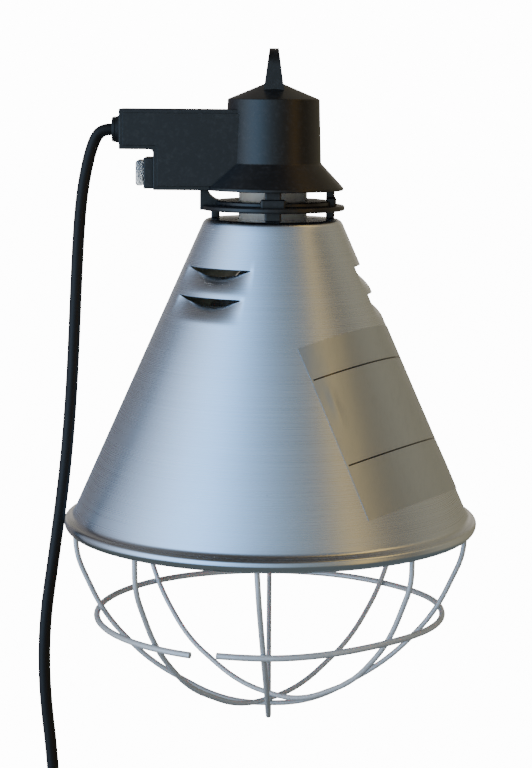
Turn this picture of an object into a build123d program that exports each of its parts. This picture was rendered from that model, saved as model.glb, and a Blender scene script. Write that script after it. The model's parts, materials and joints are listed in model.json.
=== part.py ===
"""Livestock heat lamp: spun aluminium shade, wire guard, infrared bulb and plastic head with rocker switch.

Lengths are millimetres. Every piece is drawn with Z = 0 in the widest plane of the shade's rolled rim,
+Z up, +X to the side away from the switch box and -Y towards the front. The finished pieces are then
lowered so that the centre of the hanging eye is the origin.
"""
from build123d import *
import math
import os

# Shade, spun from sheet
RIM_DIAMETER = 210.0
SHEET = 1.0
BEAD_RISE = 2.4
BEAD_DROP = 4.2
LIP_WRAP = 75.0
FLARE_ANGLE = 80.0
CONE_INSET = 2.95
CONE_HALF_ANGLE = 23.94
SHADE_TOP = 153.2
SHOULDER_FILLET = 4.0
VENT_HOLE_DIAMETER = 3.4
VENT_HOLE_CIRCLE = 41.2

# Louvres, pressed inwards below a slit
LOUVRE_AZIMUTHS = (-41.5, 96.0, 207.0)
LOUVRE_BELOW_TOP = 22.5
LOUVRE_STEP = 13.8
LOUVRES_PER_GROUP = 2
LOUVRE_CHORD = 42.0
LOUVRE_DEPTH = 3.0
LOUVRE_REACH = 12.0
LOUVRE_GAP = 3.0

# Rating label, a blank foil laid flat on the cone
LABEL_WIDTH = 95.5
LABEL_HEIGHT = 88.5
LABEL_FROM_APEX = 139.5
LABEL_AZIMUTH = 58.3
LABEL_FOIL = 0.2
LABEL_CLEARANCE = 0.05

# Head: hood with skirt, drum, roof and hanging eye
SKIRT_DIAMETER = 70.4
SKIRT_ABOVE_PLATE = 10.0
SKIRT_LIP = 1.3
DRUM_DIAMETER = 47.8
SKIRT_HEIGHT = 13.4
DRUM_TOP_DIAMETER = 45.8
DRUM_HEIGHT = 31.4
ROOF_RISE = 7.9
ROOF_TOP_DIAMETER = 8.0
HOOD_WALL = 2.2
FLOOR_THICKNESS = 2.4

EYE_RISE = 17.1
EYE_WIDTH = 22.0
EYE_TOP_THICKNESS = 4.2
EYE_FOOT_THICKNESS = 8.0
EYE_LAND_THICKNESS = 5.2
EYE_LAND_DIAMETER = 17.0
EYE_HOLE_DIAMETER = 10.0
EYE_HOLE_BELOW_TOP = 9.5

# Switch box on the side of the head
BOX_DEPTH = 31.6
BOX_END = 76.0
BOX_BELOW_EAVES = 5.1
ARM_HEIGHT = 19.8
BOX_NOTCH = 59.2
BOX_WALL = 2.0
BOX_PASSAGE_WIDTH = 24.0
PANEL_INSET = 2.0
PANEL_STEP = 0.8
COVER_THICKNESS = 2.4
COVER_EDGE = 36.0
GASKET_THICKNESS = 0.8
GASKET_WIDTH = 2.6
COVER_SCREW_DIAMETER = 2.6
COVER_SCREW_HEAD = 5.0
COVER_SCREW_LENGTH = 12.0
COVER_BOSS_DIAMETER = 5.6
COVER_BOSS_INTO_WALL = 0.8

# Vent spacer between head and shade
SPACER_DIAMETER = 71.8
POST_FOOT = 4.3
SPACER_PLATE = 2.6
SPACER_BORE_CLEARANCE = 0.5
SPACER_HUB_DIAMETER = 58.0
SPACER_HUB_RISE = 4.8
POST_COUNT = 4
POST_INNER_RADIUS = 26.6
POST_OUTER_RADIUS = 30.8
POST_WIDTH = 8.0
POST_INTO_SKIRT = 2.4
COLLAR_OUTER_RADIUS = 31.6
COLLAR_WIDTH = 12.2
COLLAR_RISE = 6.7
BRACKET_END = 36.3
BRACKET_WIDTH = 14.0
BRACKET_FILLET = 7.0
SHADE_SCREW_DIAMETER = 2.6
SHADE_SCREW_HEAD = 5.2
SHADE_SCREW_LENGTH = 21.0

# Ceramic lampholder
HOLDER_DIAMETER = 34.2
HOLDER_BORE_DEPTH = 27.0
HOLDER_FLANGE_DIAMETER = 44.0
HOLDER_FLANGE = 4.0
HOLDER_HEAD_DIAMETER = 27.0
HOLDER_HEAD_RISE = 6.1
HOLDER_BORE_BELOW_FLOOR = 13.5
HOLDER_SCREW_CIRCLE = 39.2
HOLDER_SCREW_DIAMETER = 2.4
HOLDER_SCREW_HEAD = 4.4
HOLDER_SCREW_LENGTH = 7.0
SHELL_OUTER_DIAMETER = 27.7
SHELL_SHEET = 0.5
SHELL_MOUTH = 2.0
CONTACT_DIAMETER = 9.0
CONTACT_DROP = 2.0
CONTACT_GAP = 0.3
STEM_DIAMETER = 2.4
SIDE_STEM_OFFSET = 9.0
TERMINAL_SIZE = 6.0

# Infrared bulb with E27 cap
BULB_DIAMETER = 121.0
BULB_LENGTH = 136.0
BULB_RIM_HEIGHT = 6.0
BULB_LENS_RISE = 19.5
BULB_LENS_EDGE = 5.0
BULB_WALL = 2.2
BULB_NECK_DIAMETER = 30.0
CAP_DIAMETER = 26.05
CAP_LENGTH = 24.4
CAP_SHEET = 0.6
CAP_CONTACT_DIAMETER = 10.0
CAP_CONTACT_THICKNESS = 1.2
CAP_INSULATOR_HEIGHT = 3.2
FILAMENT_RADIUS = 12.0
FILAMENT_WIRE = 1.2
FILAMENT_BELOW_NECK = 44.0
LEAD_WIRE = 1.2
STEM_GLASS_DIAMETER = 9.0

# Wire guard
GUARD_WIRE = 2.8
GUARD_RING_WIRE = 3.2
GUARD_CLEARANCE = 0.35
GUARD_SHOULDER = (0.2, -20.0)
GUARD_KNEE = (14.7, -51.5)
GUARD_SHIN = (38.0, -76.0)
GUARD_FLAT = 22.0
GUARD_LOWEST_FLAT = 19.0
GUARD_FRONT_AZIMUTH = -3.7
GUARD_LEG_RAISES = {GUARD_FRONT_AZIMUTH: 1.2, 42.6: 3.4, 90.0: 1.8}
GUARD_RING_FROM_TOP = 54.0
GUARD_RING_GAP_START = -25.2
GUARD_RING_GAP_END = -16.4
GUARD_LOWEST = -100.9
WELD_GAP = 0.03

# Rocker switch with splash cap
SWITCH_ABOVE_BOX_BOTTOM = 8.1
BEZEL_WIDTH = 21.0
BEZEL_HEIGHT = 15.4
BEZEL_DEPTH = 5.0
BEZEL_WALL = 2.2
SWITCH_BODY_WIDTH = 18.6
SWITCH_BODY_HEIGHT = 11.6
SWITCH_BODY_END = 42.0
SPLASH_CAP_DEPTH = 4.1
SPLASH_CAP_WALL = 0.8
SPLASH_CAP_INSET = 1.35
ROCKER_WIDTH = 15.4
ROCKER_HEIGHT = 8.6
ROCKER_TILT = 9.0
ROCKER_PROUD = 1.7
ROCKER_CLEARANCE = 0.3
PIVOT_DIAMETER = 2.4
PIVOT_CLEARANCE = 0.05
PIVOT_INSET = 0.9
TAB_LENGTH = 7.0
TAB_HEIGHT = 3.6
TAB_SHEET = 0.8
TAB_PITCH = 6.0
DIODE_DIAMETER = 4.6
DIODE_LENGTH = 6.0
DIODE_LEAD = 0.8

# Cord, gland and wiring
CORD_DIAMETER = 6.1
GLAND_ABOVE_ARM_BOTTOM = 9.4
GLAND_LENGTH = 4.3
GLAND_DIAMETER = 13.3
GLAND_TIP_DIAMETER = 12.0
GLAND_FLANGE = 1.0
GLAND_FLANGE_DIAMETER = 14.4
CORD_CLEARANCE = 0.05
CORD_STUB_END = 60.0
CLAMP_WIDTH = 20.0
CLAMP_LENGTH = 6.0
CLAMP_FROM_END = 6.5
CLAMP_RISE = 5.6
CLAMP_GAP = 0.4
CLAMP_SCREW_DIAMETER = 2.2
CLAMP_SCREW_HEAD = 4.2
CLAMP_SCREW_SPREAD = 14.0
SCREW_HEAD_HEIGHT = 1.6
CORE_DIAMETER = 2.0
CORE_SPREAD = 3.2
BLOCK_LENGTH = 16.0
BLOCK_WIDTH = 15.0
BLOCK_HEIGHT = 9.0
BLOCK_CENTRE = 43.0
SHELF_ABOVE_SWITCH = 9.8
BLOCK_POLE_SPREAD = 8.0

# Coil and plug
COIL_RADIUS = 38.0
COIL_PITCH = 7.0
COIL_START = (-107.5, -33.0, -182.0)
COIL_LOOPS_PER_LAYER = 2
COIL_LAYERS = 4
TIE_WIDTH = 8.0
TIE_THICKNESS = 1.6
TIE_CLEARANCE = 0.35
PLUG_RELIEF_LENGTH = 24.0
PLUG_RELIEF_DIAMETER = 11.0
PLUG_RELIEF_TIP_DIAMETER = 8.4
PLUG_LENGTH = 36.0
PLUG_WIDTH = 37.0
PLUG_SHOULDER_WIDTH = 17.0
PLUG_THICKNESS = 16.5
PLUG_FILLET = 3.0
PIN_DIAMETER = 4.8
PIN_LENGTH = 19.0
PIN_SPACING = 19.0
PIN_SLEEVE_LENGTH = 10.0

# Values that follow from the ones above
RIM_RADIUS = RIM_DIAMETER / 2
CONE_SLOPE = math.tan(math.radians(CONE_HALF_ANGLE))
CONE_APEX = (RIM_RADIUS - CONE_INSET) / CONE_SLOPE
SPACER_PLATE_BOTTOM = SHADE_TOP + POST_FOOT
SPACER_HUB_TOP = SPACER_PLATE_BOTTOM + SPACER_HUB_RISE
COLLAR_TOP = SPACER_PLATE_BOTTOM + COLLAR_RISE
SKIRT_BOTTOM = SPACER_PLATE_BOTTOM + SKIRT_ABOVE_PLATE
POST_TOP = SKIRT_BOTTOM + POST_INTO_SKIRT
DRUM_BOTTOM = SKIRT_BOTTOM + SKIRT_HEIGHT
DRUM_TOP = DRUM_BOTTOM + DRUM_HEIGHT
ROOF_TOP = DRUM_TOP + ROOF_RISE
EYE_TOP = ROOF_TOP + EYE_RISE
EYE_CENTRE = EYE_TOP - EYE_HOLE_BELOW_TOP
BOX_TOP = DRUM_TOP - BOX_BELOW_EAVES
ARM_BOTTOM = BOX_TOP - ARM_HEIGHT
GLAND_HEIGHT = ARM_BOTTOM + GLAND_ABOVE_ARM_BOTTOM
SWITCH_HEIGHT = SKIRT_BOTTOM + SWITCH_ABOVE_BOX_BOTTOM
BLOCK_SHELF = SWITCH_HEIGHT + SHELF_ABOVE_SWITCH
BOX_HALF = BOX_DEPTH / 2
COVER_SEAT = BOX_HALF - COVER_THICKNESS - GASKET_THICKNESS
POST_RADIUS = (POST_INNER_RADIUS + POST_OUTER_RADIUS) / 2
FLOOR_BOTTOM = DRUM_BOTTOM - FLOOR_THICKNESS
HOLDER_HEAD_TOP = DRUM_BOTTOM + HOLDER_HEAD_RISE
HOLDER_BORE_TOP = FLOOR_BOTTOM - HOLDER_BORE_BELOW_FLOOR
HOLDER_BOTTOM = HOLDER_BORE_TOP - HOLDER_BORE_DEPTH
CAP_TOP = HOLDER_BORE_TOP - CONTACT_DROP - CONTACT_GAP
BULB_FACE = CAP_TOP - BULB_LENGTH
BEZEL_FACE = BOX_NOTCH + BEZEL_DEPTH
GLAND_TIP = BOX_END + GLAND_LENGTH
CORD_RADIUS = CORD_DIAMETER / 2
LIP_CENTRE = RIM_RADIUS - BEAD_DROP
LIP_INNER_RADIUS = LIP_CENTRE + (BEAD_DROP - SHEET) * math.cos(math.radians(LIP_WRAP))
GUARD_ENTRY_RADIUS = LIP_INNER_RADIUS - GUARD_WIRE / 2 - GUARD_CLEARANCE


def cone_radius(height):
    """Outer radius of the shade's cone at a height above the rim plane."""
    return (CONE_APEX - height) * CONE_SLOPE


def around(azimuth, radius, height):
    """Point at an azimuth in degrees: 0 is the front, 90 is +X."""
    turn = math.radians(azimuth)
    return Vector(radius * math.sin(turn), -radius * math.cos(turn), height)


def box(x0, x1, y0, y1, z0, z1):
    """Block between two corners."""
    centre = Pos((x0 + x1) / 2, (y0 + y1) / 2, (z0 + z1) / 2)
    return centre * Box(abs(x1 - x0), abs(y1 - y0), abs(z1 - z0))


def tube_z(radius, z0, z1, x=0.0, y=0.0):
    """Upright cylinder between two heights."""
    return Pos(x, y, (z0 + z1) / 2) * Cylinder(radius, abs(z1 - z0))


def rod_x(radius, x0, x1, y=0.0, z=0.0):
    """Cylinder along X."""
    return Pos((x0 + x1) / 2, y, z) * Rot(0, 90, 0) * Cylinder(radius, abs(x1 - x0))


def rod_y(radius, y0, y1, x=0.0, z=0.0):
    """Cylinder along Y."""
    return Pos(x, (y0 + y1) / 2, z) * Rot(90, 0, 0) * Cylinder(radius, abs(y1 - y0))


def spun(points):
    """Solid of revolution about Z from a closed outline of (radius, height) points."""
    outline = Polyline(*[(r, 0, z) for r, z in points], close=True)
    return revolve(make_face(outline), Axis.Z)


def slab_y(points, y0, y1):
    """Plate with an outline of (x, z) points between two Y planes."""
    outline = Polyline(*[(x, y0, z) for x, z in points], close=True)
    return extrude(make_face(outline), amount=y1 - y0, dir=(0, 1, 0))


def swept_wire(points, radii, diameter):
    """Round wire along straight runs joined by tangent arcs."""
    path = FilletPolyline(*points, radius=radii)
    start = path @ 0
    section = Plane(start, z_dir=path % 0) * Circle(diameter / 2)
    return sweep(section, path=path)


def arc_radii(points, share=0.45):
    """Largest tangent arc at each corner: a share of the shorter run over tan of half the turn."""
    radii = []
    for before, corner, after in zip(points, points[1:], points[2:]):
        run_in = Vector(*corner) - Vector(*before)
        run_out = Vector(*after) - Vector(*corner)
        half_turn = math.radians(run_in.get_angle(run_out)) / 2
        radii.append(share * min(run_in.length, run_out.length) / math.tan(half_turn))
    return radii


def pan_screw(shank_diameter, length, head_diameter, head_height=SCREW_HEAD_HEIGHT):
    """Pan-head screw along +Z, seat of the head at Z = 0, with a cross recess."""
    shank = tube_z(shank_diameter / 2, 0, length - shank_diameter / 2)
    point = Pos(0, 0, length - shank_diameter / 4) * Cone(shank_diameter / 2, 0.2, shank_diameter / 2)
    head = fillet(
        tube_z(head_diameter / 2, -head_height, 0).edges().group_by(Axis.Z)[0],
        head_height * 0.45,
    )
    slot = head_diameter * 0.55
    recess = box(-slot / 2, slot / 2, -0.35, 0.35, -head_height, -head_height * 0.45)
    return shank + point + head - recess - Rot(0, 0, 90) * recess


# Shade

def on_circle(centre, radius, angle):
    """Point of the section on a circle, at an angle in degrees above the outward direction."""
    turn = math.radians(angle)
    return centre[0] + radius * math.cos(turn), 0, centre[1] + radius * math.sin(turn)


def section_arc(centre, radius, start, end):
    """Arc of the section between two angles."""
    return ThreePointArc(*[on_circle(centre, radius, angle) for angle in (start, (start + end) / 2, end)])


def flare_circle():
    """Centre and radius of the hollow flare that leads from the cone to the top of the rolled rim."""
    turn = math.radians(FLARE_ANGLE)
    across = RIM_RADIUS - BEAD_RISE * (1 - math.cos(turn))
    height = BEAD_RISE * math.sin(turn)
    gap = (across - cone_radius(height)) * math.cos(math.radians(CONE_HALF_ANGLE))
    radius = gap / (1 - math.cos(math.radians(FLARE_ANGLE - CONE_HALF_ANGLE)))
    return (across + radius * math.cos(turn), height + radius * math.sin(turn)), radius


def guard_top():
    """Height of the guard wires' ends, just clear of the flare above them."""
    centre, radius = flare_circle()
    outer_side = GUARD_ENTRY_RADIUS + GUARD_WIRE / 2
    return centre[1] - math.sqrt((radius + SHEET) ** 2 - (centre[0] - outer_side) ** 2) - GUARD_CLEARANCE


def shade_profile():
    """Closed section of the spun sheet: flat top, cone, hollow flare, and the rim rolled out and under."""
    hole = HOLDER_DIAMETER / 2 + SPACER_BORE_CLEARANCE
    lean = SHEET / math.cos(math.radians(CONE_HALF_ANGLE))
    inner_top = SHADE_TOP - SHEET
    flare, flare_radius = flare_circle()
    turns = (CONE_HALF_ANGLE + 180, FLARE_ANGLE + 180)
    outer_flare = section_arc(flare, flare_radius, *turns)
    inner_flare = section_arc(flare, flare_radius + SHEET, *turns)
    flank = FilletPolyline(
        (hole, 0, SHADE_TOP), (cone_radius(SHADE_TOP), 0, SHADE_TOP), outer_flare @ 0,
        radius=SHOULDER_FILLET,
    )
    inner_flank = FilletPolyline(
        (hole, 0, inner_top), (cone_radius(inner_top) - lean, 0, inner_top), inner_flare @ 0,
        radius=SHOULDER_FILLET - SHEET,
    )
    roll_centre = (RIM_RADIUS - BEAD_RISE, 0)
    lip_centre = (LIP_CENTRE, 0)
    outer_roll = section_arc(roll_centre, BEAD_RISE, FLARE_ANGLE, 0)
    inner_roll = section_arc(roll_centre, BEAD_RISE - SHEET, FLARE_ANGLE, 0)
    outer_lip = section_arc(lip_centre, BEAD_DROP, 0, -LIP_WRAP)
    inner_lip = section_arc(lip_centre, BEAD_DROP - SHEET, 0, -LIP_WRAP)
    edge = Line(outer_lip @ 1, inner_lip @ 1)
    mouth = Line((hole, 0, SHADE_TOP), (hole, 0, inner_top))
    outside = flank + outer_flare + outer_roll + outer_lip
    inside = inner_lip + inner_roll + inner_flare + inner_flank
    return make_face(outside + edge + inside + mouth)


def louvre_spindle(upper_edge, azimuth, grow):
    """Spindle lying along the slit's chord, whose surface is the pressed hollow."""
    half_chord = LOUVRE_CHORD / 2
    ring = (LOUVRE_REACH ** 2 + LOUVRE_DEPTH ** 2) / (2 * LOUVRE_DEPTH)
    bow = (half_chord ** 2 + LOUVRE_DEPTH ** 2) / (2 * LOUVRE_DEPTH)
    belly = ring + grow
    end = math.sqrt((bow + grow) ** 2 - (bow - ring) ** 2)
    outline = ThreePointArc((-end, 0, 0), (0, belly, 0), (end, 0, 0)) + Line((-end, 0, 0), (end, 0, 0))
    spindle = revolve(make_face(outline), Axis.X)
    outwards = ring - LOUVRE_DEPTH
    lean = math.radians(CONE_HALF_ANGLE)
    radius = cone_radius(upper_edge) + outwards * math.cos(lean)
    height = upper_edge + outwards * math.sin(lean)
    return Rot(0, 0, azimuth) * Pos(0, -radius, height) * spindle


def louvre_mouth(upper_edge, azimuth):
    """Lens-shaped cut through the pressed hollow, straight above and bowed below."""
    half_chord = LOUVRE_CHORD / 2
    outline = ThreePointArc((-half_chord, 0, 0), (0, 0, -LOUVRE_GAP), (half_chord, 0, 0))
    lens = make_face(outline + Line((-half_chord, 0, 0), (half_chord, 0, 0)))
    reach = LOUVRE_DEPTH + 3 * SHEET
    cutter = extrude(lens, amount=reach + 4 * LOUVRE_DEPTH, dir=(0, 1, 0))
    radius = cone_radius(upper_edge) + 2 * LOUVRE_DEPTH
    return Rot(0, 0, azimuth) * Pos(0, -radius, upper_edge) * cutter


def louvre_places():
    """(upper edge, azimuth) of every slit, azimuth turned about Z from the front."""
    for azimuth in LOUVRE_AZIMUTHS:
        for row in range(LOUVRES_PER_GROUP):
            yield SHADE_TOP - LOUVRE_BELOW_TOP - row * LOUVRE_STEP, azimuth


def build_shade():
    shade = revolve(shade_profile(), Axis.Z)
    filled = spun([(0, 0), (cone_radius(0), 0), (0, CONE_APEX)])
    for upper_edge, azimuth in louvre_places():
        below = box(-LOUVRE_CHORD, LOUVRE_CHORD, -RIM_RADIUS, 0, upper_edge - 2 * LOUVRE_REACH, upper_edge)
        below = Rot(0, 0, azimuth) * below
        dish = louvre_spindle(upper_edge, azimuth, SHEET) & below & filled
        hollow = louvre_spindle(upper_edge, azimuth, 0) & below
        shade = shade + dish - hollow - louvre_mouth(upper_edge, azimuth)
    hole_span = (SHADE_TOP - 2 * SHEET, SHADE_TOP + SHEET)
    for azimuth in post_azimuths():
        vent = around(azimuth, VENT_HOLE_CIRCLE / 2, 0)
        shade = shade - tube_z(VENT_HOLE_DIAMETER / 2, *hole_span, vent.X, vent.Y)
    for azimuth in screw_azimuths():
        screw = around(azimuth, POST_RADIUS, 0)
        shade = shade - tube_z(SHADE_SCREW_DIAMETER / 2 + CORD_CLEARANCE, *hole_span, screw.X, screw.Y)
    return shade


def post_azimuths():
    return [index * 360 / POST_COUNT for index in range(POST_COUNT)]


def screw_azimuths():
    """Azimuths of the full posts: the last post is only a foot, because the bracket stands above it."""
    return post_azimuths()[:-1]


def label_point(across, down):
    """Point on the cone for a place on the flat label, across from its middle and down from the apex."""
    slant = math.hypot(across, down)
    turn = math.degrees(math.atan2(across, down)) / math.sin(math.radians(CONE_HALF_ANGLE))
    drop = slant * math.cos(math.radians(CONE_HALF_ANGLE))
    radius = slant * math.sin(math.radians(CONE_HALF_ANGLE))
    return around(LABEL_AZIMUTH + turn, radius, CONE_APEX - drop)


def build_label():
    gap = LABEL_CLEARANCE / math.cos(math.radians(CONE_HALF_ANGLE))
    foil = LABEL_FOIL / math.cos(math.radians(CONE_HALF_ANGLE))
    low = 0.0
    high = SHADE_TOP - 2 * SHOULDER_FILLET
    label = spun([
        (cone_radius(low) + gap, low), (cone_radius(low) + gap + foil, low),
        (cone_radius(high) + gap + foil, high), (cone_radius(high) + gap, high),
    ])
    side = LABEL_WIDTH / 2
    top = LABEL_FROM_APEX
    bottom = top + LABEL_HEIGHT
    middle = label_point(0, (top + bottom) / 2)
    edges = [
        [(-side, top), (0, top), (side, top)],
        [(-side, bottom), (0, bottom), (side, bottom)],
        [(-side, top), (-side, (top + bottom) / 2), (-side, bottom)],
        [(side, top), (side, (top + bottom) / 2), (side, bottom)],
    ]
    for places in edges:
        first, second, third = [label_point(*place) for place in places]
        normal = (second - first).cross(third - first).normalized()
        if normal.dot(middle - first) < 0:
            normal = normal * -1
        label = split(label, bisect_by=Plane(first, z_dir=normal), keep=Keep.TOP)
    return max(label.solids(), key=lambda solid: solid.volume)


# Head

def box_outline(inset=0.0, to_x=None):
    """Side outline of the switch box as (x, z) points, drawn in by an inset on its free edges."""
    right = -DRUM_TOP_DIAMETER / 4 if to_x is None else to_x
    return [
        (right, BOX_TOP - inset), (-BOX_END + inset, BOX_TOP - inset),
        (-BOX_END + inset, ARM_BOTTOM + inset), (-BOX_NOTCH + inset, ARM_BOTTOM + inset),
        (-BOX_NOTCH + inset, SKIRT_BOTTOM + inset), (right, SKIRT_BOTTOM + inset),
    ]


def hood_outside():
    skirt = SKIRT_DIAMETER / 2
    return spun([
        (0, SKIRT_BOTTOM), (skirt, SKIRT_BOTTOM), (skirt, SKIRT_BOTTOM + SKIRT_LIP),
        (DRUM_DIAMETER / 2, DRUM_BOTTOM), (DRUM_TOP_DIAMETER / 2, DRUM_TOP),
        (ROOF_TOP_DIAMETER / 2, ROOF_TOP), (0, ROOF_TOP),
    ])


def hood_room():
    """Electrical room inside the drum, above the floor that carries the lampholder."""
    return spun([
        (0, DRUM_BOTTOM), (DRUM_DIAMETER / 2 - HOOD_WALL, DRUM_BOTTOM),
        (DRUM_TOP_DIAMETER / 2 - HOOD_WALL, DRUM_TOP - HOOD_WALL),
        (ROOF_TOP_DIAMETER / 2, ROOF_TOP - 1.6 * HOOD_WALL), (0, ROOF_TOP - 1.6 * HOOD_WALL),
    ])


def skirt_room():
    """Open space under the skirt, up to the floor."""
    skirt = SKIRT_DIAMETER / 2 - HOOD_WALL
    return spun([
        (0, SKIRT_BOTTOM), (skirt, SKIRT_BOTTOM), (skirt, SKIRT_BOTTOM + SKIRT_LIP / 2),
        (DRUM_DIAMETER / 2 - HOOD_WALL / 2, FLOOR_BOTTOM), (0, FLOOR_BOTTOM),
    ])


def eye_fin():
    """Tapered fin across the roof with a round top, and the hole that the lamp hangs by."""
    half = EYE_WIDTH / 2
    foot = ROOF_TOP - 5.0
    section = [
        (-EYE_FOOT_THICKNESS / 2, foot), (EYE_FOOT_THICKNESS / 2, foot),
        (EYE_TOP_THICKNESS / 2, EYE_TOP), (-EYE_TOP_THICKNESS / 2, EYE_TOP),
    ]
    fin = slab_y(section, -half, half)
    outline = rod_x(half, -half, half, z=EYE_TOP - half) + box(-half, half, -half, half, foot, EYE_TOP - half)
    fin = fin & outline
    for side in (-1, 1):
        land = rod_x(EYE_LAND_DIAMETER / 2, side * EYE_LAND_THICKNESS / 2, side * EYE_WIDTH, z=EYE_CENTRE)
        fin = fin - land
    return fin - rod_x(EYE_HOLE_DIAMETER / 2, -EYE_WIDTH, EYE_WIDTH, z=EYE_CENTRE)


def cover_screw_places():
    """(x, z) of the screws that hold the rear cover."""
    inset = BOX_WALL + COVER_BOSS_DIAMETER / 2 - COVER_BOSS_INTO_WALL
    return [
        (-BOX_END + inset, BOX_TOP - inset),
        (-BOX_END + inset, ARM_BOTTOM + inset),
        (-COVER_EDGE - COVER_SCREW_HEAD / 2, BOX_TOP - inset),
        (-COVER_EDGE - COVER_SCREW_HEAD / 2, SKIRT_BOTTOM + BOX_WALL + COVER_BOSS_DIAMETER / 4),
    ]


def clamp_span():
    """X limits of the cord clamp, inside the end of the arm."""
    near = -BOX_END + BOX_WALL + CLAMP_FROM_END
    return near, near + CLAMP_LENGTH


def build_hood():
    shell = hood_outside()
    casing = slab_y(box_outline(), -BOX_HALF + PANEL_STEP, BOX_HALF)
    panel = slab_y(box_outline(PANEL_INSET), -BOX_HALF, -BOX_HALF + PANEL_STEP)
    casing = fillet((casing + panel).edges().filter_by(Axis.Y).group_by(Axis.X)[0], 1.0)
    hood = shell + casing + eye_fin()

    room = slab_y(box_outline(BOX_WALL), -BOX_HALF + BOX_WALL + PANEL_STEP, BOX_HALF)
    passage = box(-BOX_END, 0, -BOX_PASSAGE_WIDTH / 2, BOX_HALF, SKIRT_BOTTOM, BOX_TOP - BOX_WALL)
    drum_side = -math.sqrt((DRUM_DIAMETER / 2) ** 2 - BOX_HALF ** 2) - BOX_WALL
    wide = box(-BOX_END, drum_side, -BOX_HALF, BOX_HALF, SKIRT_BOTTOM, BOX_TOP)
    inside = room & wide
    inside = inside + (room & passage & tube_z(DRUM_DIAMETER / 2 + BOX_WALL, DRUM_BOTTOM, BOX_TOP))
    inside = inside - (hood_outside() & box(-50, 50, -50, 50, SKIRT_BOTTOM, DRUM_BOTTOM))
    behind = box(-COVER_EDGE, 0, BOX_HALF - BOX_WALL, BOX_HALF, SKIRT_BOTTOM, BOX_TOP)
    inside = inside - behind
    hood = hood - inside - hood_room() - skirt_room()

    seat = slab_y(box_outline(-1.0, -COVER_EDGE), COVER_SEAT, BOX_HALF + 1)
    hood = hood - seat
    for x, z in cover_screw_places():
        boss = rod_y(COVER_BOSS_DIAMETER / 2, -BOX_HALF + BOX_WALL, COVER_SEAT, x, z)
        hood = hood + (boss & slab_y(box_outline(BOX_WALL / 2), -BOX_HALF + BOX_WALL, COVER_SEAT))
        hood = hood - rod_y(COVER_SCREW_DIAMETER / 2, COVER_SEAT - COVER_SCREW_LENGTH, COVER_SEAT, x, z)

    for azimuth in screw_azimuths():
        half = POST_WIDTH / 2
        boss = box(-half, half, -POST_OUTER_RADIUS, -POST_INNER_RADIUS, POST_TOP, DRUM_BOTTOM)
        boss = Rot(0, 0, azimuth) * boss
        bore = around(azimuth, POST_RADIUS, 0)
        hood = hood + (boss & hood_outside())
        depth = SHADE_TOP - SHEET + SHADE_SCREW_LENGTH
        hood = hood - tube_z(SHADE_SCREW_DIAMETER / 2, POST_TOP, depth, bore.X, bore.Y)

    head_hole = HOLDER_HEAD_DIAMETER / 2 + SPACER_BORE_CLEARANCE
    hood = hood - tube_z(head_hole, FLOOR_BOTTOM, DRUM_BOTTOM)
    for side in (-1, 1):
        hood = hood - tube_z(HOLDER_SCREW_DIAMETER / 2, FLOOR_BOTTOM, DRUM_BOTTOM,
                             y=side * HOLDER_SCREW_CIRCLE / 2)

    near, far = clamp_span()
    saddle = box(near, far, -BOX_HALF + BOX_WALL, CLAMP_WIDTH / 2, ARM_BOTTOM + BOX_WALL / 2,
                 GLAND_HEIGHT - CLAMP_GAP / 2)
    shelf_back = BLOCK_WIDTH / 2
    shelf = box(-BLOCK_CENTRE - BLOCK_LENGTH / 2, -BLOCK_CENTRE + BLOCK_LENGTH / 2,
                -BOX_HALF + BOX_WALL, shelf_back, BLOCK_SHELF - BOX_WALL, BLOCK_SHELF)
    hood = hood + saddle + shelf
    hood = hood - rod_x(CORD_RADIUS + CORD_CLEARANCE, -BOX_END - 1, far + 1, z=GLAND_HEIGHT)
    for side in (-1, 1):
        hood = hood - tube_z(CLAMP_SCREW_DIAMETER / 2, ARM_BOTTOM + BOX_WALL, GLAND_HEIGHT,
                             (near + far) / 2, side * CLAMP_SCREW_SPREAD / 2)
    window = box(-BOX_NOTCH - 1, -BOX_NOTCH + BOX_WALL + 1, -SWITCH_BODY_WIDTH / 2 - CORD_CLEARANCE,
                 SWITCH_BODY_WIDTH / 2 + CORD_CLEARANCE, SWITCH_HEIGHT - SWITCH_BODY_HEIGHT / 2 - CORD_CLEARANCE,
                 SWITCH_HEIGHT + SWITCH_BODY_HEIGHT / 2 + CORD_CLEARANCE)
    return hood - window


def build_rear_cover():
    plate = slab_y(box_outline(0, -COVER_EDGE), BOX_HALF - COVER_THICKNESS, BOX_HALF - PANEL_STEP)
    panel = slab_y(box_outline(PANEL_INSET, -COVER_EDGE - PANEL_INSET), BOX_HALF - PANEL_STEP, BOX_HALF)
    cover = plate + panel
    for x, z in cover_screw_places():
        cover = cover - rod_y(COVER_SCREW_DIAMETER / 2 + CORD_CLEARANCE, COVER_SEAT, BOX_HALF, x, z)
        cover = cover - rod_y(COVER_SCREW_HEAD / 2 + CORD_CLEARANCE, BOX_HALF - SCREW_HEAD_HEIGHT,
                              BOX_HALF + 1, x, z)
    return cover


def build_gasket():
    outer = slab_y(box_outline(0, -COVER_EDGE), COVER_SEAT, COVER_SEAT + GASKET_THICKNESS)
    inner = slab_y(box_outline(GASKET_WIDTH, -COVER_EDGE - GASKET_WIDTH), COVER_SEAT, BOX_HALF)
    gasket = outer - inner
    for x, z in cover_screw_places():
        gasket = gasket - rod_y(COVER_SCREW_DIAMETER / 2 + CORD_CLEARANCE, COVER_SEAT, BOX_HALF, x, z)
    return gasket


def build_cover_screws():
    seat = BOX_HALF - SCREW_HEAD_HEIGHT
    screw = Rot(90, 0, 0) * pan_screw(COVER_SCREW_DIAMETER - 2 * CORD_CLEARANCE, COVER_SCREW_LENGTH,
                                      COVER_SCREW_HEAD)
    return Compound([Pos(x, seat, z) * screw for x, z in cover_screw_places()])


# Vent spacer

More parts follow.
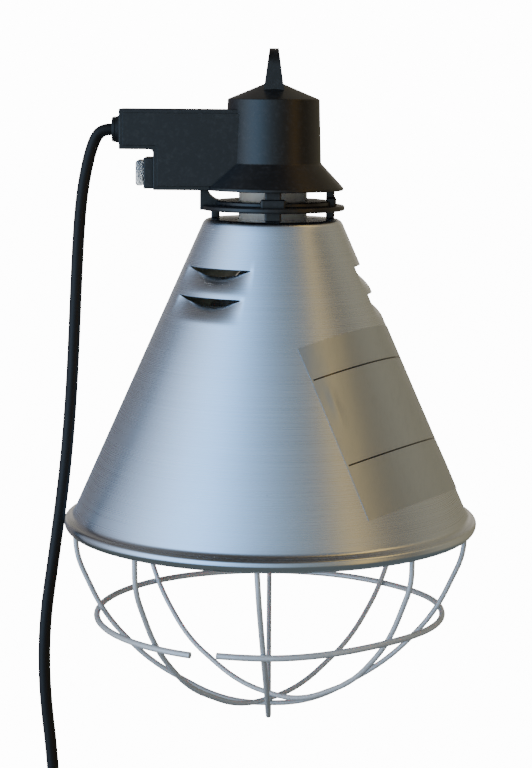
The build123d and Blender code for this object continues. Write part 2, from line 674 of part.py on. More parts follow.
def build_spacer():
    bore = HOLDER_DIAMETER / 2 + SPACER_BORE_CLEARANCE
    plate_top = SPACER_PLATE_BOTTOM + SPACER_PLATE
    plate = tube_z(SPACER_DIAMETER / 2, SPACER_PLATE_BOTTOM, plate_top)
    plate = fillet(plate.edges(), SPACER_PLATE * 0.4)
    spacer = plate + tube_z(SPACER_HUB_DIAMETER / 2, SPACER_PLATE_BOTTOM, SPACER_HUB_TOP)
    half = POST_WIDTH / 2
    collar_half = COLLAR_WIDTH / 2
    foot = box(-half, half, -POST_OUTER_RADIUS, -POST_INNER_RADIUS, SHADE_TOP, plate_top)
    post = box(-half, half, -POST_OUTER_RADIUS, -POST_INNER_RADIUS, SHADE_TOP, POST_TOP)
    collar = box(-collar_half, collar_half, -COLLAR_OUTER_RADIUS, -POST_INNER_RADIUS,
                 SPACER_PLATE_BOTTOM, COLLAR_TOP)
    for azimuth in post_azimuths():
        full = azimuth in screw_azimuths()
        spacer = spacer + Rot(0, 0, azimuth) * (post + collar if full else foot)
    curve_end = BRACKET_END - BRACKET_FILLET / 2
    curve = ThreePointArc(
        (-curve_end, -BRACKET_WIDTH / 2, SKIRT_BOTTOM),
        (-curve_end + BRACKET_FILLET * 0.293, -BRACKET_WIDTH / 2, SPACER_HUB_TOP + BRACKET_FILLET * 0.22),
        (-curve_end + BRACKET_FILLET, -BRACKET_WIDTH / 2, SPACER_HUB_TOP),
    )
    rest = Polyline(
        curve @ 1,
        (-curve_end + BRACKET_FILLET, -BRACKET_WIDTH / 2, SPACER_PLATE_BOTTOM),
        (-BRACKET_END, -BRACKET_WIDTH / 2, SPACER_PLATE_BOTTOM),
        (-BRACKET_END, -BRACKET_WIDTH / 2, SKIRT_BOTTOM),
        curve @ 0,
    )
    spacer = spacer + extrude(make_face(curve + rest), amount=BRACKET_WIDTH, dir=(0, 1, 0))
    spacer = spacer - tube_z(bore, SHADE_TOP, POST_TOP)
    for azimuth in screw_azimuths():
        hole = around(azimuth, POST_RADIUS, 0)
        spacer = spacer - tube_z(SHADE_SCREW_DIAMETER / 2, SHADE_TOP, POST_TOP, hole.X, hole.Y)
    return spacer


def build_shade_screws():
    screw = pan_screw(SHADE_SCREW_DIAMETER - 2 * CORD_CLEARANCE, SHADE_SCREW_LENGTH, SHADE_SCREW_HEAD)
    places = [around(azimuth, POST_RADIUS, SHADE_TOP - SHEET) for azimuth in screw_azimuths()]
    return Compound([Pos(*place) * screw for place in places])


# Lampholder

def build_holder_body():
    barrel = tube_z(HOLDER_DIAMETER / 2, HOLDER_BOTTOM, FLOOR_BOTTOM)
    barrel = fillet(barrel.edges().group_by(Axis.Z)[0], 1.2)
    flange = tube_z(HOLDER_FLANGE_DIAMETER / 2, FLOOR_BOTTOM - HOLDER_FLANGE, FLOOR_BOTTOM)
    flange = fillet(flange.edges().group_by(Axis.Z)[0], 1.0)
    head = tube_z(HOLDER_HEAD_DIAMETER / 2, FLOOR_BOTTOM, HOLDER_HEAD_TOP)
    body = barrel + flange + head
    body = body - tube_z(SHELL_OUTER_DIAMETER / 2 + CORD_CLEARANCE, HOLDER_BOTTOM - 1, HOLDER_BORE_TOP)
    for side in (-1, 1):
        y = side * HOLDER_SCREW_CIRCLE / 2
        body = body - tube_z(HOLDER_SCREW_DIAMETER / 2, FLOOR_BOTTOM - HOLDER_FLANGE, FLOOR_BOTTOM, y=y)
    for x in (0, SIDE_STEM_OFFSET):
        body = body - tube_z(STEM_DIAMETER / 2 + CORD_CLEARANCE, HOLDER_BORE_TOP, HOLDER_HEAD_TOP, x)
    return body


def build_holder_shell():
    outer = SHELL_OUTER_DIAMETER / 2
    sleeve = tube_z(outer, HOLDER_BOTTOM + SHELL_MOUTH, HOLDER_BORE_TOP)
    sleeve = sleeve - tube_z(outer - SHELL_SHEET, HOLDER_BOTTOM, HOLDER_BORE_TOP - SHELL_SHEET)
    sleeve = sleeve - tube_z(CONTACT_DIAMETER / 2 + 1.0, HOLDER_BOTTOM, HOLDER_BORE_TOP)
    return sleeve + tube_z(STEM_DIAMETER / 2, HOLDER_BORE_TOP - SHELL_SHEET, HOLDER_HEAD_TOP, SIDE_STEM_OFFSET)


def build_centre_contact():
    foot = tube_z(CONTACT_DIAMETER / 2, HOLDER_BORE_TOP - SHELL_SHEET, HOLDER_BORE_TOP)
    spring = tube_z(CONTACT_DIAMETER / 3, HOLDER_BORE_TOP - CONTACT_DROP, HOLDER_BORE_TOP)
    return foot + spring + tube_z(STEM_DIAMETER / 2, HOLDER_BORE_TOP - SHELL_SHEET, HOLDER_HEAD_TOP)


def build_holder_terminals():
    half = TERMINAL_SIZE / 2
    blocks = []
    for x in (0, SIDE_STEM_OFFSET):
        block = box(x - half, x + half, -half, half, HOLDER_HEAD_TOP, HOLDER_HEAD_TOP + TERMINAL_SIZE)
        head = tube_z(half * 0.7, HOLDER_HEAD_TOP + TERMINAL_SIZE, HOLDER_HEAD_TOP + TERMINAL_SIZE + 1.4, x)
        blocks.append(block + head)
    return Compound(blocks)


def build_holder_screws():
    seat = FLOOR_BOTTOM - HOLDER_FLANGE
    screw = pan_screw(HOLDER_SCREW_DIAMETER - 2 * CORD_CLEARANCE, HOLDER_SCREW_LENGTH, HOLDER_SCREW_HEAD)
    spread = HOLDER_SCREW_CIRCLE / 2
    return Compound([Pos(0, side * spread, seat) * screw for side in (-1, 1)])


# Bulb

def bulb_heights():
    """Heights of the bulb's neck, reflector rim and lens edge."""
    neck = CAP_TOP - CAP_CONTACT_THICKNESS - CAP_LENGTH
    lens_edge = BULB_FACE + BULB_LENS_RISE
    return neck, lens_edge + BULB_RIM_HEIGHT, lens_edge


def reflector_section(shrink):
    """Half section of the reflector bulb, filled to the axis, drawn in by a wall thickness."""
    neck, rim, lens_edge = bulb_heights()
    radius = BULB_DIAMETER / 2 - shrink
    throat = BULB_NECK_DIAMETER / 2 - shrink
    collar = neck - 9.0
    belly = ThreePointArc(
        (throat, 0, collar), (0.78 * radius, 0, rim + 0.42 * (collar - rim)), (radius, 0, rim),
    )
    outline = Polyline((radius, 0, rim), (radius, 0, lens_edge), (0, 0, lens_edge), (0, 0, neck - shrink),
                       (throat - 1.6, 0, neck - shrink), (throat, 0, collar))
    return make_face(belly + outline)


def build_bulb_reflector():
    return revolve(reflector_section(0), Axis.Z) - revolve(reflector_section(BULB_WALL), Axis.Z)


def lens_section(shrink):
    """Half section of the lens: a shallow dome with its centre on the axis, and an upright edge."""
    lens_edge = bulb_heights()[2]
    radius = BULB_DIAMETER / 2 - shrink
    rise = BULB_LENS_RISE - BULB_LENS_EDGE
    dome_radius = ((BULB_DIAMETER / 2) ** 2 + rise ** 2) / (2 * rise)
    centre = BULB_FACE + dome_radius
    inner = dome_radius - shrink
    reach = math.asin(radius / inner)
    foot = centre - inner * math.cos(reach)
    middle = (inner * math.sin(reach / 2), 0, centre - inner * math.cos(reach / 2))
    dome = ThreePointArc((radius, 0, foot), middle, (0, 0, centre - inner))
    return make_face(dome + Polyline((0, 0, centre - inner), (0, 0, lens_edge), (radius, 0, lens_edge),
                                     (radius, 0, foot)))


def build_bulb_lens():
    return revolve(lens_section(0), Axis.Z) - revolve(lens_section(BULB_WALL), Axis.Z)


def build_bulb_cap():
    neck = bulb_heights()[0]
    radius = CAP_DIAMETER / 2
    top = CAP_TOP - CAP_CONTACT_THICKNESS
    shoulder = top - CAP_INSULATOR_HEIGHT
    outer = spun([(0, neck), (radius, neck), (radius, shoulder), (radius - 2.5, top - 1.0), (0, top - 1.0)])
    inner = spun([
        (0, neck), (radius - CAP_SHEET, neck), (radius - CAP_SHEET, shoulder - CAP_SHEET),
        (radius - 3.2, top - 1.0), (0, top - 1.0),
    ])
    return outer - inner


def build_cap_insulator():
    top = CAP_TOP - CAP_CONTACT_THICKNESS
    wide = CAP_DIAMETER / 2 - 3.5
    return spun([(0, top - CAP_INSULATOR_HEIGHT), (wide, top - CAP_INSULATOR_HEIGHT), (wide, top - 1.0),
                 (CAP_CONTACT_DIAMETER / 2 + 0.4, top), (0, top)])


def build_cap_contact():
    disc = tube_z(CAP_CONTACT_DIAMETER / 2, CAP_TOP - CAP_CONTACT_THICKNESS, CAP_TOP)
    return fillet(disc.edges().group_by(Axis.Z)[-1], 0.5)


def filament_height():
    return bulb_heights()[0] - FILAMENT_BELOW_NECK


def build_bulb_stem():
    """Glass stem of the bulb with its two lead wires, which hold the filament's ends."""
    neck = bulb_heights()[0]
    height = filament_height()
    stem = tube_z(STEM_GLASS_DIAMETER / 2, neck - FILAMENT_BELOW_NECK * 0.6, neck - BULB_WALL)
    foot = neck - FILAMENT_BELOW_NECK * 0.5
    for side in (-1, 1):
        points = [(side * 2.5, 0, foot), (side * 2.5, 0, foot - 9), (side * FILAMENT_RADIUS, 0, height + 7),
                  (side * FILAMENT_RADIUS, 0, height + FILAMENT_WIRE / 2)]
        stem = stem + swept_wire(points, [3.0, 3.0], LEAD_WIRE)
    return stem


def build_filament():
    """Half ring of coiled filament between the lead wires, drawn as one thick wire."""
    height = filament_height()
    path = ThreePointArc((-FILAMENT_RADIUS, 0, height), (0, -FILAMENT_RADIUS, height), (FILAMENT_RADIUS, 0, height))
    section = Plane(path @ 0, z_dir=path % 0) * Circle(FILAMENT_WIRE / 2)
    return sweep(section, path=path)


# Guard

def guard_leg(azimuth, flat_radius, depth):
    """Corners of one leg of a guard wire, from the middle of the bottom up into the rim."""
    raised = GUARD_LEG_RAISES.get(azimuth, 0.0)
    bends = [(inset, height + raised) for inset, height in (GUARD_SHIN, GUARD_KNEE, GUARD_SHOULDER)]
    corners = [(flat_radius, depth)]
    corners += [(GUARD_ENTRY_RADIUS - inset, height) for inset, height in bends]
    corners += [(GUARD_ENTRY_RADIUS, guard_top())]
    return [tuple(around(leg_azimuth(azimuth, height), radius, height)) for radius, height in corners]


def leg_azimuth(azimuth, height):
    """Azimuth of a leg at a height: the front leg leans in to the middle, and the others stand straight."""
    if azimuth == GUARD_FRONT_AZIMUTH:
        return azimuth * (1 - height / GUARD_LOWEST)
    return azimuth


def build_guard_wire(front_azimuth, back_azimuth, level, flat_radius=GUARD_FLAT):
    """One wire of the guard, in a U from rim to rim, at its level in the stack where the wires cross."""
    depth = GUARD_LOWEST + level * (GUARD_WIRE + WELD_GAP)
    points = guard_leg(front_azimuth, flat_radius, depth)[::-1] + guard_leg(back_azimuth, flat_radius, depth)
    return swept_wire(points, arc_radii(points, 0.42), GUARD_WIRE)


def guard_ring_place():
    """Radius and height of the ring's centre line, welded to the outside of a leg that isn't raised."""
    points = guard_leg(-90, GUARD_FLAT, GUARD_LOWEST + GUARD_WIRE)
    leg = FilletPolyline(*points, radius=arc_radii(points, 0.42))
    share = 1 - GUARD_RING_FROM_TOP / leg.length
    along = leg % share
    apart = (GUARD_WIRE + GUARD_RING_WIRE) / 2 + WELD_GAP
    centre = (leg @ share) + Vector(-along.Z, 0, along.X) * apart
    return -centre.X, centre.Z


def ring_stations(height):
    """(azimuth, rise) round the ring, at every leg and halfway between legs."""
    front = leg_azimuth(GUARD_FRONT_AZIMUTH, height)
    rises = {(front if azimuth == GUARD_FRONT_AZIMUTH else azimuth): rise
             for azimuth, rise in GUARD_LEG_RAISES.items()}
    legs = [(azimuth, rises.get(azimuth, 0.0)) for azimuth in (front, 42.6, 90.0, 135.0, 180.0, 225.0, 270.0, 319.8)]
    stations = [(GUARD_RING_GAP_END, legs[0][1])]
    for leg, following in zip(legs, legs[1:]):
        stations += [leg, ((leg[0] + following[0]) / 2, (leg[1] + following[1]) / 2)]
    return stations + [legs[-1], (GUARD_RING_GAP_START + 360, 0.0)]


def build_guard_ring():
    """Open ring round the outside of the wires, lifted with the raised legs, with its gap at the front left."""
    radius, height = guard_ring_place()
    path = Spline(*[around(azimuth, radius, height + rise) for azimuth, rise in ring_stations(height)])
    section = Plane(path @ 0, z_dir=path % 0) * Circle(GUARD_RING_WIRE / 2)
    return sweep(section, path=path)


# Switch

def switch_box(x0, x1, width, height):
    """Block centred on the switch's axis."""
    return box(x0, x1, -width / 2, width / 2, SWITCH_HEIGHT - height / 2, SWITCH_HEIGHT + height / 2)


def rocker_pivot():
    """X of the rocker's pivot axis, inside the bezel."""
    return -BEZEL_FACE + 2.4


def build_switch_body():
    bezel = switch_box(-BEZEL_FACE, -BOX_NOTCH, BEZEL_WIDTH, BEZEL_HEIGHT)
    bezel = chamfer(bezel.faces().sort_by(Axis.X)[0].edges(), 0.7)
    body = bezel + switch_box(-BOX_NOTCH, -SWITCH_BODY_END, SWITCH_BODY_WIDTH, SWITCH_BODY_HEIGHT)
    clear = 2 * ROCKER_CLEARANCE
    well = switch_box(-BEZEL_FACE, rocker_pivot() + 7.0, ROCKER_WIDTH + clear, ROCKER_HEIGHT + clear)
    pin = tube_z(PIVOT_DIAMETER / 2 + PIVOT_CLEARANCE, SWITCH_HEIGHT - ROCKER_HEIGHT / 2 - PIVOT_INSET,
                 SWITCH_HEIGHT + ROCKER_HEIGHT / 2 + PIVOT_INSET, rocker_pivot())
    return body - well - pin


def build_rocker():
    """Rocker at rest with its front end pressed in, on trunnions that turn in the bezel."""
    pivot = rocker_pivot()
    top = -BEZEL_FACE - ROCKER_PROUD + 0.6
    half = ROCKER_WIDTH / 2 - 0.4
    dish = [(top - 1.0, -half), (top + 0.4, 0), (top - 1.0, half), (pivot + 1.4, half), (pivot + 4.4, 0),
            (pivot + 1.4, -half)]
    outline = Polyline(*[(x, y, 0) for x, y in dish], close=True)
    height = ROCKER_HEIGHT - 2 * PIVOT_CLEARANCE
    key = extrude(make_face(outline), amount=height / 2, both=True)
    pin_half = ROCKER_HEIGHT / 2 + PIVOT_INSET - PIVOT_CLEARANCE
    key = key + tube_z(PIVOT_DIAMETER / 2, -pin_half, pin_half, pivot)
    turned = Pos(pivot, 0, SWITCH_HEIGHT) * Rot(0, 0, ROCKER_TILT) * Pos(-pivot, 0, 0)
    return turned * key


def build_splash_cap():
    width = BEZEL_WIDTH - 2 * SPLASH_CAP_INSET
    height = BEZEL_HEIGHT - 2 * SPLASH_CAP_INSET
    tip = -BEZEL_FACE - SPLASH_CAP_DEPTH
    outer = switch_box(tip, -BEZEL_FACE, width, height)
    outer = fillet(outer.faces().sort_by(Axis.X)[0].edges() + outer.edges().filter_by(Axis.X), 1.6)
    thin = 2 * SPLASH_CAP_WALL
    inner = switch_box(tip + SPLASH_CAP_WALL, -BEZEL_FACE, width - thin, height - thin)
    inner = fillet(inner.faces().sort_by(Axis.X)[0].edges(), 0.8)
    return outer - inner


def tab_places():
    """Y of each switch tab."""
    return [-TAB_PITCH, 0.0, TAB_PITCH]


def build_switch_tabs():
    end = -SWITCH_BODY_END + TAB_LENGTH
    tabs = []
    for y in tab_places():
        tabs.append(box(-SWITCH_BODY_END, end, y - TAB_SHEET / 2, y + TAB_SHEET / 2,
                        SWITCH_HEIGHT - TAB_HEIGHT / 2, SWITCH_HEIGHT + TAB_HEIGHT / 2))
    return Compound(tabs)


def build_diode():
    """Diode that halves the power, bridged between the middle and rear tabs."""
    tab_end = -SWITCH_BODY_END + TAB_LENGTH
    centre_y = (tab_places()[1] + tab_places()[2]) / 2
    x = tab_end - DIODE_LEAD
    tab_top = SWITCH_HEIGHT + TAB_HEIGHT / 2
    z = tab_top + DIODE_LEAD + DIODE_DIAMETER / 2
    body = rod_x(DIODE_DIAMETER / 2, x - DIODE_LENGTH, x, centre_y, z)
    diode = body
    half = DIODE_LEAD / 2
    for y, end in ((tab_places()[1], x - DIODE_LENGTH + half), (tab_places()[2], x - half)):
        near_y, far_y = sorted((y, centre_y))
        diode = diode + box(end - half, end + half, near_y - half, far_y + half, z - half, z + half)
        diode = diode + box(end - half, end + half, y - half, y + half, tab_top, z + half)
    return diode


# Cord entry and wiring

def build_gland():
    flange = rod_x(GLAND_FLANGE_DIAMETER / 2, -BOX_END - GLAND_FLANGE, -BOX_END, z=GLAND_HEIGHT)
    length = GLAND_LENGTH - GLAND_FLANGE
    taper = Cone(GLAND_DIAMETER / 2, GLAND_TIP_DIAMETER / 2, length)
    taper = Pos(-BOX_END - GLAND_FLANGE - length / 2, 0, GLAND_HEIGHT) * Rot(0, -90, 0) * taper
    return flange + taper - rod_x(CORD_RADIUS + CORD_CLEARANCE, -GLAND_TIP, -BOX_END, z=GLAND_HEIGHT)


def build_cord_end():
    """Sheathed end of the cord, through the gland and under the clamp."""
    return rod_x(CORD_RADIUS, -GLAND_TIP, -CORD_STUB_END, z=GLAND_HEIGHT)


def build_clamp():
    near, far = clamp_span()
    bar = box(near, far, -CLAMP_WIDTH / 2, CLAMP_WIDTH / 2, GLAND_HEIGHT + CLAMP_GAP / 2,
              GLAND_HEIGHT + CLAMP_RISE)
    bar = bar - rod_x(CORD_RADIUS + CORD_CLEARANCE, near - 1, far + 1, z=GLAND_HEIGHT)
    for side in (-1, 1):
        bar = bar - tube_z(CLAMP_SCREW_DIAMETER / 2 + CORD_CLEARANCE, GLAND_HEIGHT, GLAND_HEIGHT + CLAMP_RISE,
                           (near + far) / 2, side * CLAMP_SCREW_SPREAD / 2)
    return bar


def build_clamp_screws():
    near, far = clamp_span()
    length = CLAMP_RISE + (GLAND_HEIGHT - ARM_BOTTOM - BOX_WALL) - 0.5
    screw = Rot(180, 0, 0) * pan_screw(CLAMP_SCREW_DIAMETER - 2 * CORD_CLEARANCE, length, CLAMP_SCREW_HEAD)
    place = Pos((near + far) / 2, 0, GLAND_HEIGHT + CLAMP_RISE)
    spread = CLAMP_SCREW_SPREAD / 2
    return Compound([place * Pos(0, side * spread, 0) * screw for side in (-1, 1)])


def build_terminal_block():
    block = box(-BLOCK_CENTRE - BLOCK_LENGTH / 2, -BLOCK_CENTRE + BLOCK_LENGTH / 2, -BLOCK_WIDTH / 2,
                BLOCK_WIDTH / 2, BLOCK_SHELF, BLOCK_SHELF + BLOCK_HEIGHT)
    block = chamfer(block.faces().sort_by(Axis.Z)[-1].edges().filter_by(Axis.X), 1.2)
    for x, y in block_screw_places():
        block = block - tube_z(1.6, BLOCK_SHELF + BLOCK_HEIGHT - 3, BLOCK_SHELF + BLOCK_HEIGHT, x, y)
    return block


def block_screw_places():
    for x in (-BLOCK_CENTRE - BLOCK_LENGTH / 4, -BLOCK_CENTRE + BLOCK_LENGTH / 4):
        for y in (-BLOCK_POLE_SPREAD / 2, BLOCK_POLE_SPREAD / 2):
            yield x, y


def build_block_screws():
    top = BLOCK_SHELF + BLOCK_HEIGHT
    screws = []
    for x, y in block_screw_places():
        slot = box(x - 1.6, x + 1.6, y - 0.3, y + 0.3, top - 1.3, top)
        screws.append(tube_z(1.5, top - 3, top - 0.6, x, y) - slot)
    return Compound(screws)


def wire_route(points):
    return swept_wire(points, arc_radii(points), CORE_DIAMETER)


def wire_heights():
    """Heights of the block's poles and of the lampholder's terminals."""
    return BLOCK_SHELF + BLOCK_HEIGHT / 2, HOLDER_HEAD_TOP + TERMINAL_SIZE / 2


def build_supply_wires():
    """The cord's two cores, from the sheath's end to the terminal block."""
    block_z = wire_heights()[0]
    start_x = -CORD_STUB_END
    end_x = -BLOCK_CENTRE - BLOCK_LENGTH / 2
    middle_x = (start_x + end_x) / 2
    cores = []
    for side in (-1, 1):
        near_y = side * CORE_SPREAD / 2
        far_y = side * BLOCK_POLE_SPREAD / 2
        cores.append(wire_route([
            (start_x, near_y, GLAND_HEIGHT), (middle_x - 1.6, near_y, GLAND_HEIGHT),
            (middle_x + 1.6, far_y, block_z), (end_x, far_y, block_z),
        ]))
    return cores


def build_switch_feed():
    """Wire from the terminal block down to the front tab of the switch."""
    block_z = wire_heights()[0]
    x = -BLOCK_CENTRE + BLOCK_LENGTH / 2
    y = -BLOCK_POLE_SPREAD / 2
    tab_y = tab_places()[0]
    tab_end = -SWITCH_BODY_END + TAB_LENGTH
    return wire_route([
        (x, y, block_z), (x + 5.5, y, block_z), (x + 7.0, tab_y, SWITCH_HEIGHT + 6),
        (x + 5.0, tab_y, SWITCH_HEIGHT), (tab_end, tab_y, SWITCH_HEIGHT),
    ])


def build_holder_live():
    """Wire from the switch's middle tab up to the lampholder's centre terminal."""
    tab_end = -SWITCH_BODY_END + TAB_LENGTH
    terminal_z = wire_heights()[1]
    half = TERMINAL_SIZE / 2
    return wire_route([
        (tab_end, 0, SWITCH_HEIGHT), (tab_end + 3.4, 0, SWITCH_HEIGHT), (tab_end + 4.6, 0, SWITCH_HEIGHT + 9),
        (tab_end + 12.0, 0, terminal_z + 1), (-half - 6, 0, terminal_z), (-half, 0, terminal_z),
    ])


def build_holder_neutral():
    """Wire from the terminal block to the lampholder's side terminal."""
    block_z, terminal_z = wire_heights()
    x = -BLOCK_CENTRE + BLOCK_LENGTH / 2
    y = BLOCK_POLE_SPREAD / 2
    half = TERMINAL_SIZE / 2
    return wire_route([
        (x, y, block_z), (x + 4, y, block_z), (x + 10, y + 1.5, block_z + 2), (x + 18, y + 4, block_z + 4),
        (-4, y + 6, terminal_z + 2), (SIDE_STEM_OFFSET, y + 4.5, terminal_z), (SIDE_STEM_OFFSET, half, terminal_z),
    ])


# Cord

def cord_points():
    """Hand-chosen route of the hanging cord, from the gland past the rim to the coil."""
    start = (-GLAND_TIP, 0, GLAND_HEIGHT)
    coil_x, coil_y, coil_z = COIL_START
    return [
        start,
        (-83.8, 0, GLAND_HEIGHT),
        (-87.8, 0, 194.2),
        (-90.6, -0.3, 187.4),
        (-93.2, -1.2, 177.0),
        (-95.5, -4, 162),
        (-96.8, -9, 140),
        (-97.7, -17, 106),
        (-98.6, -26, 70),
        (-101.3, -33, 31),
        (-106.4, -37.5, -9),
        (-111.8, -38.5, -46),
        (-112.2, -37, -80),
        (-108.6, -34.5, -116),
        (coil_x, coil_y, -150),
        COIL_START,
    ]


def build_hanging_cord():
    points = cord_points()
    radii = arc_radii(points)
    print("hanging cord radii", [round(radius, 1) for radius in radii])
    path = FilletPolyline(*points, radius=radii)
    cord = swept_wire(points, radii, CORD_DIAMETER)
    expected = math.pi * CORD_RADIUS ** 2 * path.length
    print("hanging cord length", round(path.length, 1), "volume ratio", round(cord.volume / expected, 5))
    return cord


def half_turn_arcs(start, going_up, radius, climb):
    """One half turn of the coil, as one arc, or as two tilted quarter arcs where it climbs a layer."""
    heading = Vector(0, 0, 1 if going_up else -1)
    side = -1 if going_up else 1
    end = start + Vector(2 * side * radius, climb, 0)
    span = end - start
    apex = start + span * 0.5 + heading * (span.length / 2)
    if climb == 0:
        return [ThreePointArc(start, apex, end)], end
    reach = span.length / 2
    turn_in = (start + heading * reach)
    turn_out = (end + heading * reach)
    middle_heading = (turn_out - turn_in).normalized()
    first = Edge.make_tangent_arc(start, heading, apex)
    second = Edge.make_tangent_arc(apex, middle_heading, end)
    return [first, second], end


def coil_arcs():
    """Spiral in and out through the layers, climbing one layer in each half turn where it reverses."""
    arcs = []
    place = Vector(*COIL_START)
    going_up = False
    radius = COIL_RADIUS
    step = COIL_PITCH / 2
    inwards = True
    half_turns = 2 * COIL_LOOPS_PER_LAYER
    for layer in range(COIL_LAYERS):
        for turn in range(half_turns):
            added, place = half_turn_arcs(place, going_up, radius, 0)
            arcs += added
            going_up = not going_up
            radius += -step if inwards else step
        if layer < COIL_LAYERS - 1:
            added, place = half_turn_arcs(place, going_up, radius, COIL_PITCH)
            going_up = not going_up
            inwards = not inwards
        else:
            added, place = half_turn_arcs(place, going_up, radius, 0)
        arcs += added
        radius += -step if inwards else step
    return arcs, place


def least_self_gap(arcs):
    """Least distance between the surfaces of turns that aren't neighbours along the cord."""
    places = []
    travelled = 0.0
    for arc in arcs:
        count = max(8, int(arc.length / 2.5))
        for index in range(count):
            places.append((travelled + arc.length * index / count, arc @ (index / count)))
        travelled += arc.length
    least = 1e9
    for index, (here, point) in enumerate(places):
        for there, other in places[index + 1:]:
            if there - here > 4 * CORD_DIAMETER:
                gap = (point - other).length
                least = min(least, gap)
    return least - CORD_DIAMETER


def coil_end():
    return coil_arcs()[1]


def build_coil():
    arcs, end = coil_arcs()
    straight = Line(end, end - Vector(0, 0, CORD_DIAMETER))
    path = Wire([*arcs, straight])
    print("coil loops", len(arcs), "arcs, length", round(path.length, 1))
    print("coil least gap", round(least_self_gap(arcs), 2))
    section = Plane(COIL_START, z_dir=(0, 0, -1)) * Circle(CORD_RADIUS)
    coil = sweep(section, path=path)
    print("coil volume ratio", round(coil.volume / (math.pi * CORD_RADIUS ** 2 * path.length), 5))
    return coil


def build_tie():
    """Band round the coil's bundle at the top of the coil."""
    start = Vector(*COIL_START)
    centre_x = start.X + COIL_RADIUS - COIL_PITCH / 2
    inner = COIL_RADIUS - (COIL_LOOPS_PER_LAYER - 0.5) * COIL_PITCH - CORD_RADIUS
    outer = COIL_RADIUS + COIL_PITCH / 2 + CORD_RADIUS
    lowest = inner + CORD_RADIUS
    sag = lowest - math.sqrt(lowest ** 2 - (TIE_WIDTH / 2 + COIL_PITCH) ** 2)
    low = start.Z + inner - sag - TIE_CLEARANCE
    high = start.Z + outer + TIE_CLEARANCE
    front = start.Y - CORD_RADIUS - TIE_CLEARANCE
    back = start.Y + (COIL_LAYERS - 1) * COIL_PITCH + CORD_RADIUS + TIE_CLEARANCE
    half = TIE_WIDTH / 2
    hole = box(centre_x - half, centre_x + half, front, back, low, high)
    hole = fillet(hole.edges().filter_by(Axis.X), CORD_RADIUS * 0.9)
    band = box(centre_x - half, centre_x + half, front - TIE_THICKNESS, back + TIE_THICKNESS,
               low - TIE_THICKNESS, high + TIE_THICKNESS)
    band = fillet(band.edges().filter_by(Axis.X), CORD_RADIUS * 0.9 + TIE_THICKNESS)
    return band - hole


def plug_top():
    return coil_end() - Vector(0, 0, CORD_DIAMETER)


def build_plug():
    top = plug_top()
    relief = Cone(PLUG_RELIEF_DIAMETER / 2, PLUG_RELIEF_TIP_DIAMETER / 2, PLUG_RELIEF_LENGTH)
    relief = Pos(top.X, top.Y, top.Z - PLUG_RELIEF_LENGTH / 2) * relief
    upper = top.Z - PLUG_RELIEF_LENGTH
    lower = upper - PLUG_LENGTH
    waist = PLUG_SHOULDER_WIDTH / 2
    wide = PLUG_WIDTH / 2
    outline = Polyline(
        (top.X, top.Y - waist, upper), (top.X, top.Y + waist, upper), (top.X, top.Y + wide, upper - 14),
        (top.X, top.Y + wide, lower), (top.X, top.Y - wide, lower), (top.X, top.Y - wide, upper - 14),
        close=True,
    )
    body = extrude(make_face(outline), amount=PLUG_THICKNESS / 2, both=True)
    body = fillet(body.edges().filter_by(Axis.X), PLUG_FILLET)
    faces = body.faces().sort_by(Axis.X)
    body = fillet(faces[0].edges() + faces[-1].edges(), PLUG_FILLET * 0.7)
    plug = body + relief
    for side in (-1, 1):
        plug = plug - tube_z(PIN_DIAMETER / 2, lower, lower + 6, top.X, top.Y + side * PIN_SPACING / 2)
    return plug


def pin_solids(z0, z1, radius):
    top = plug_top()
    spread = PIN_SPACING / 2
    return [tube_z(radius, z0, z1, top.X, top.Y + side * spread) for side in (-1, 1)]


def plug_face():
    return plug_top().Z - PLUG_RELIEF_LENGTH - PLUG_LENGTH


def build_pins():
    """Brass pins: the bare ends, on cores that run up through the sleeves into the plug."""
    face = plug_face()
    tips = pin_solids(face - PIN_LENGTH, face - PIN_SLEEVE_LENGTH, PIN_DIAMETER / 2)
    cores = pin_solids(face - PIN_SLEEVE_LENGTH, face + 6, PIN_DIAMETER / 2 - 0.6)
    pins = []
    for tip, core in zip(tips, cores):
        pins.append(fillet(tip.edges().group_by(Axis.Z)[0], 1.2) + core)
    return Compound(pins)


def build_pin_sleeves():
    face = plug_face()
    outers = pin_solids(face - PIN_SLEEVE_LENGTH, face + 6, PIN_DIAMETER / 2)
    cores = pin_solids(face - PIN_SLEEVE_LENGTH, face + 6, PIN_DIAMETER / 2 - 0.6)
    return Compound([outer - core for outer, core in zip(outers, cores)])


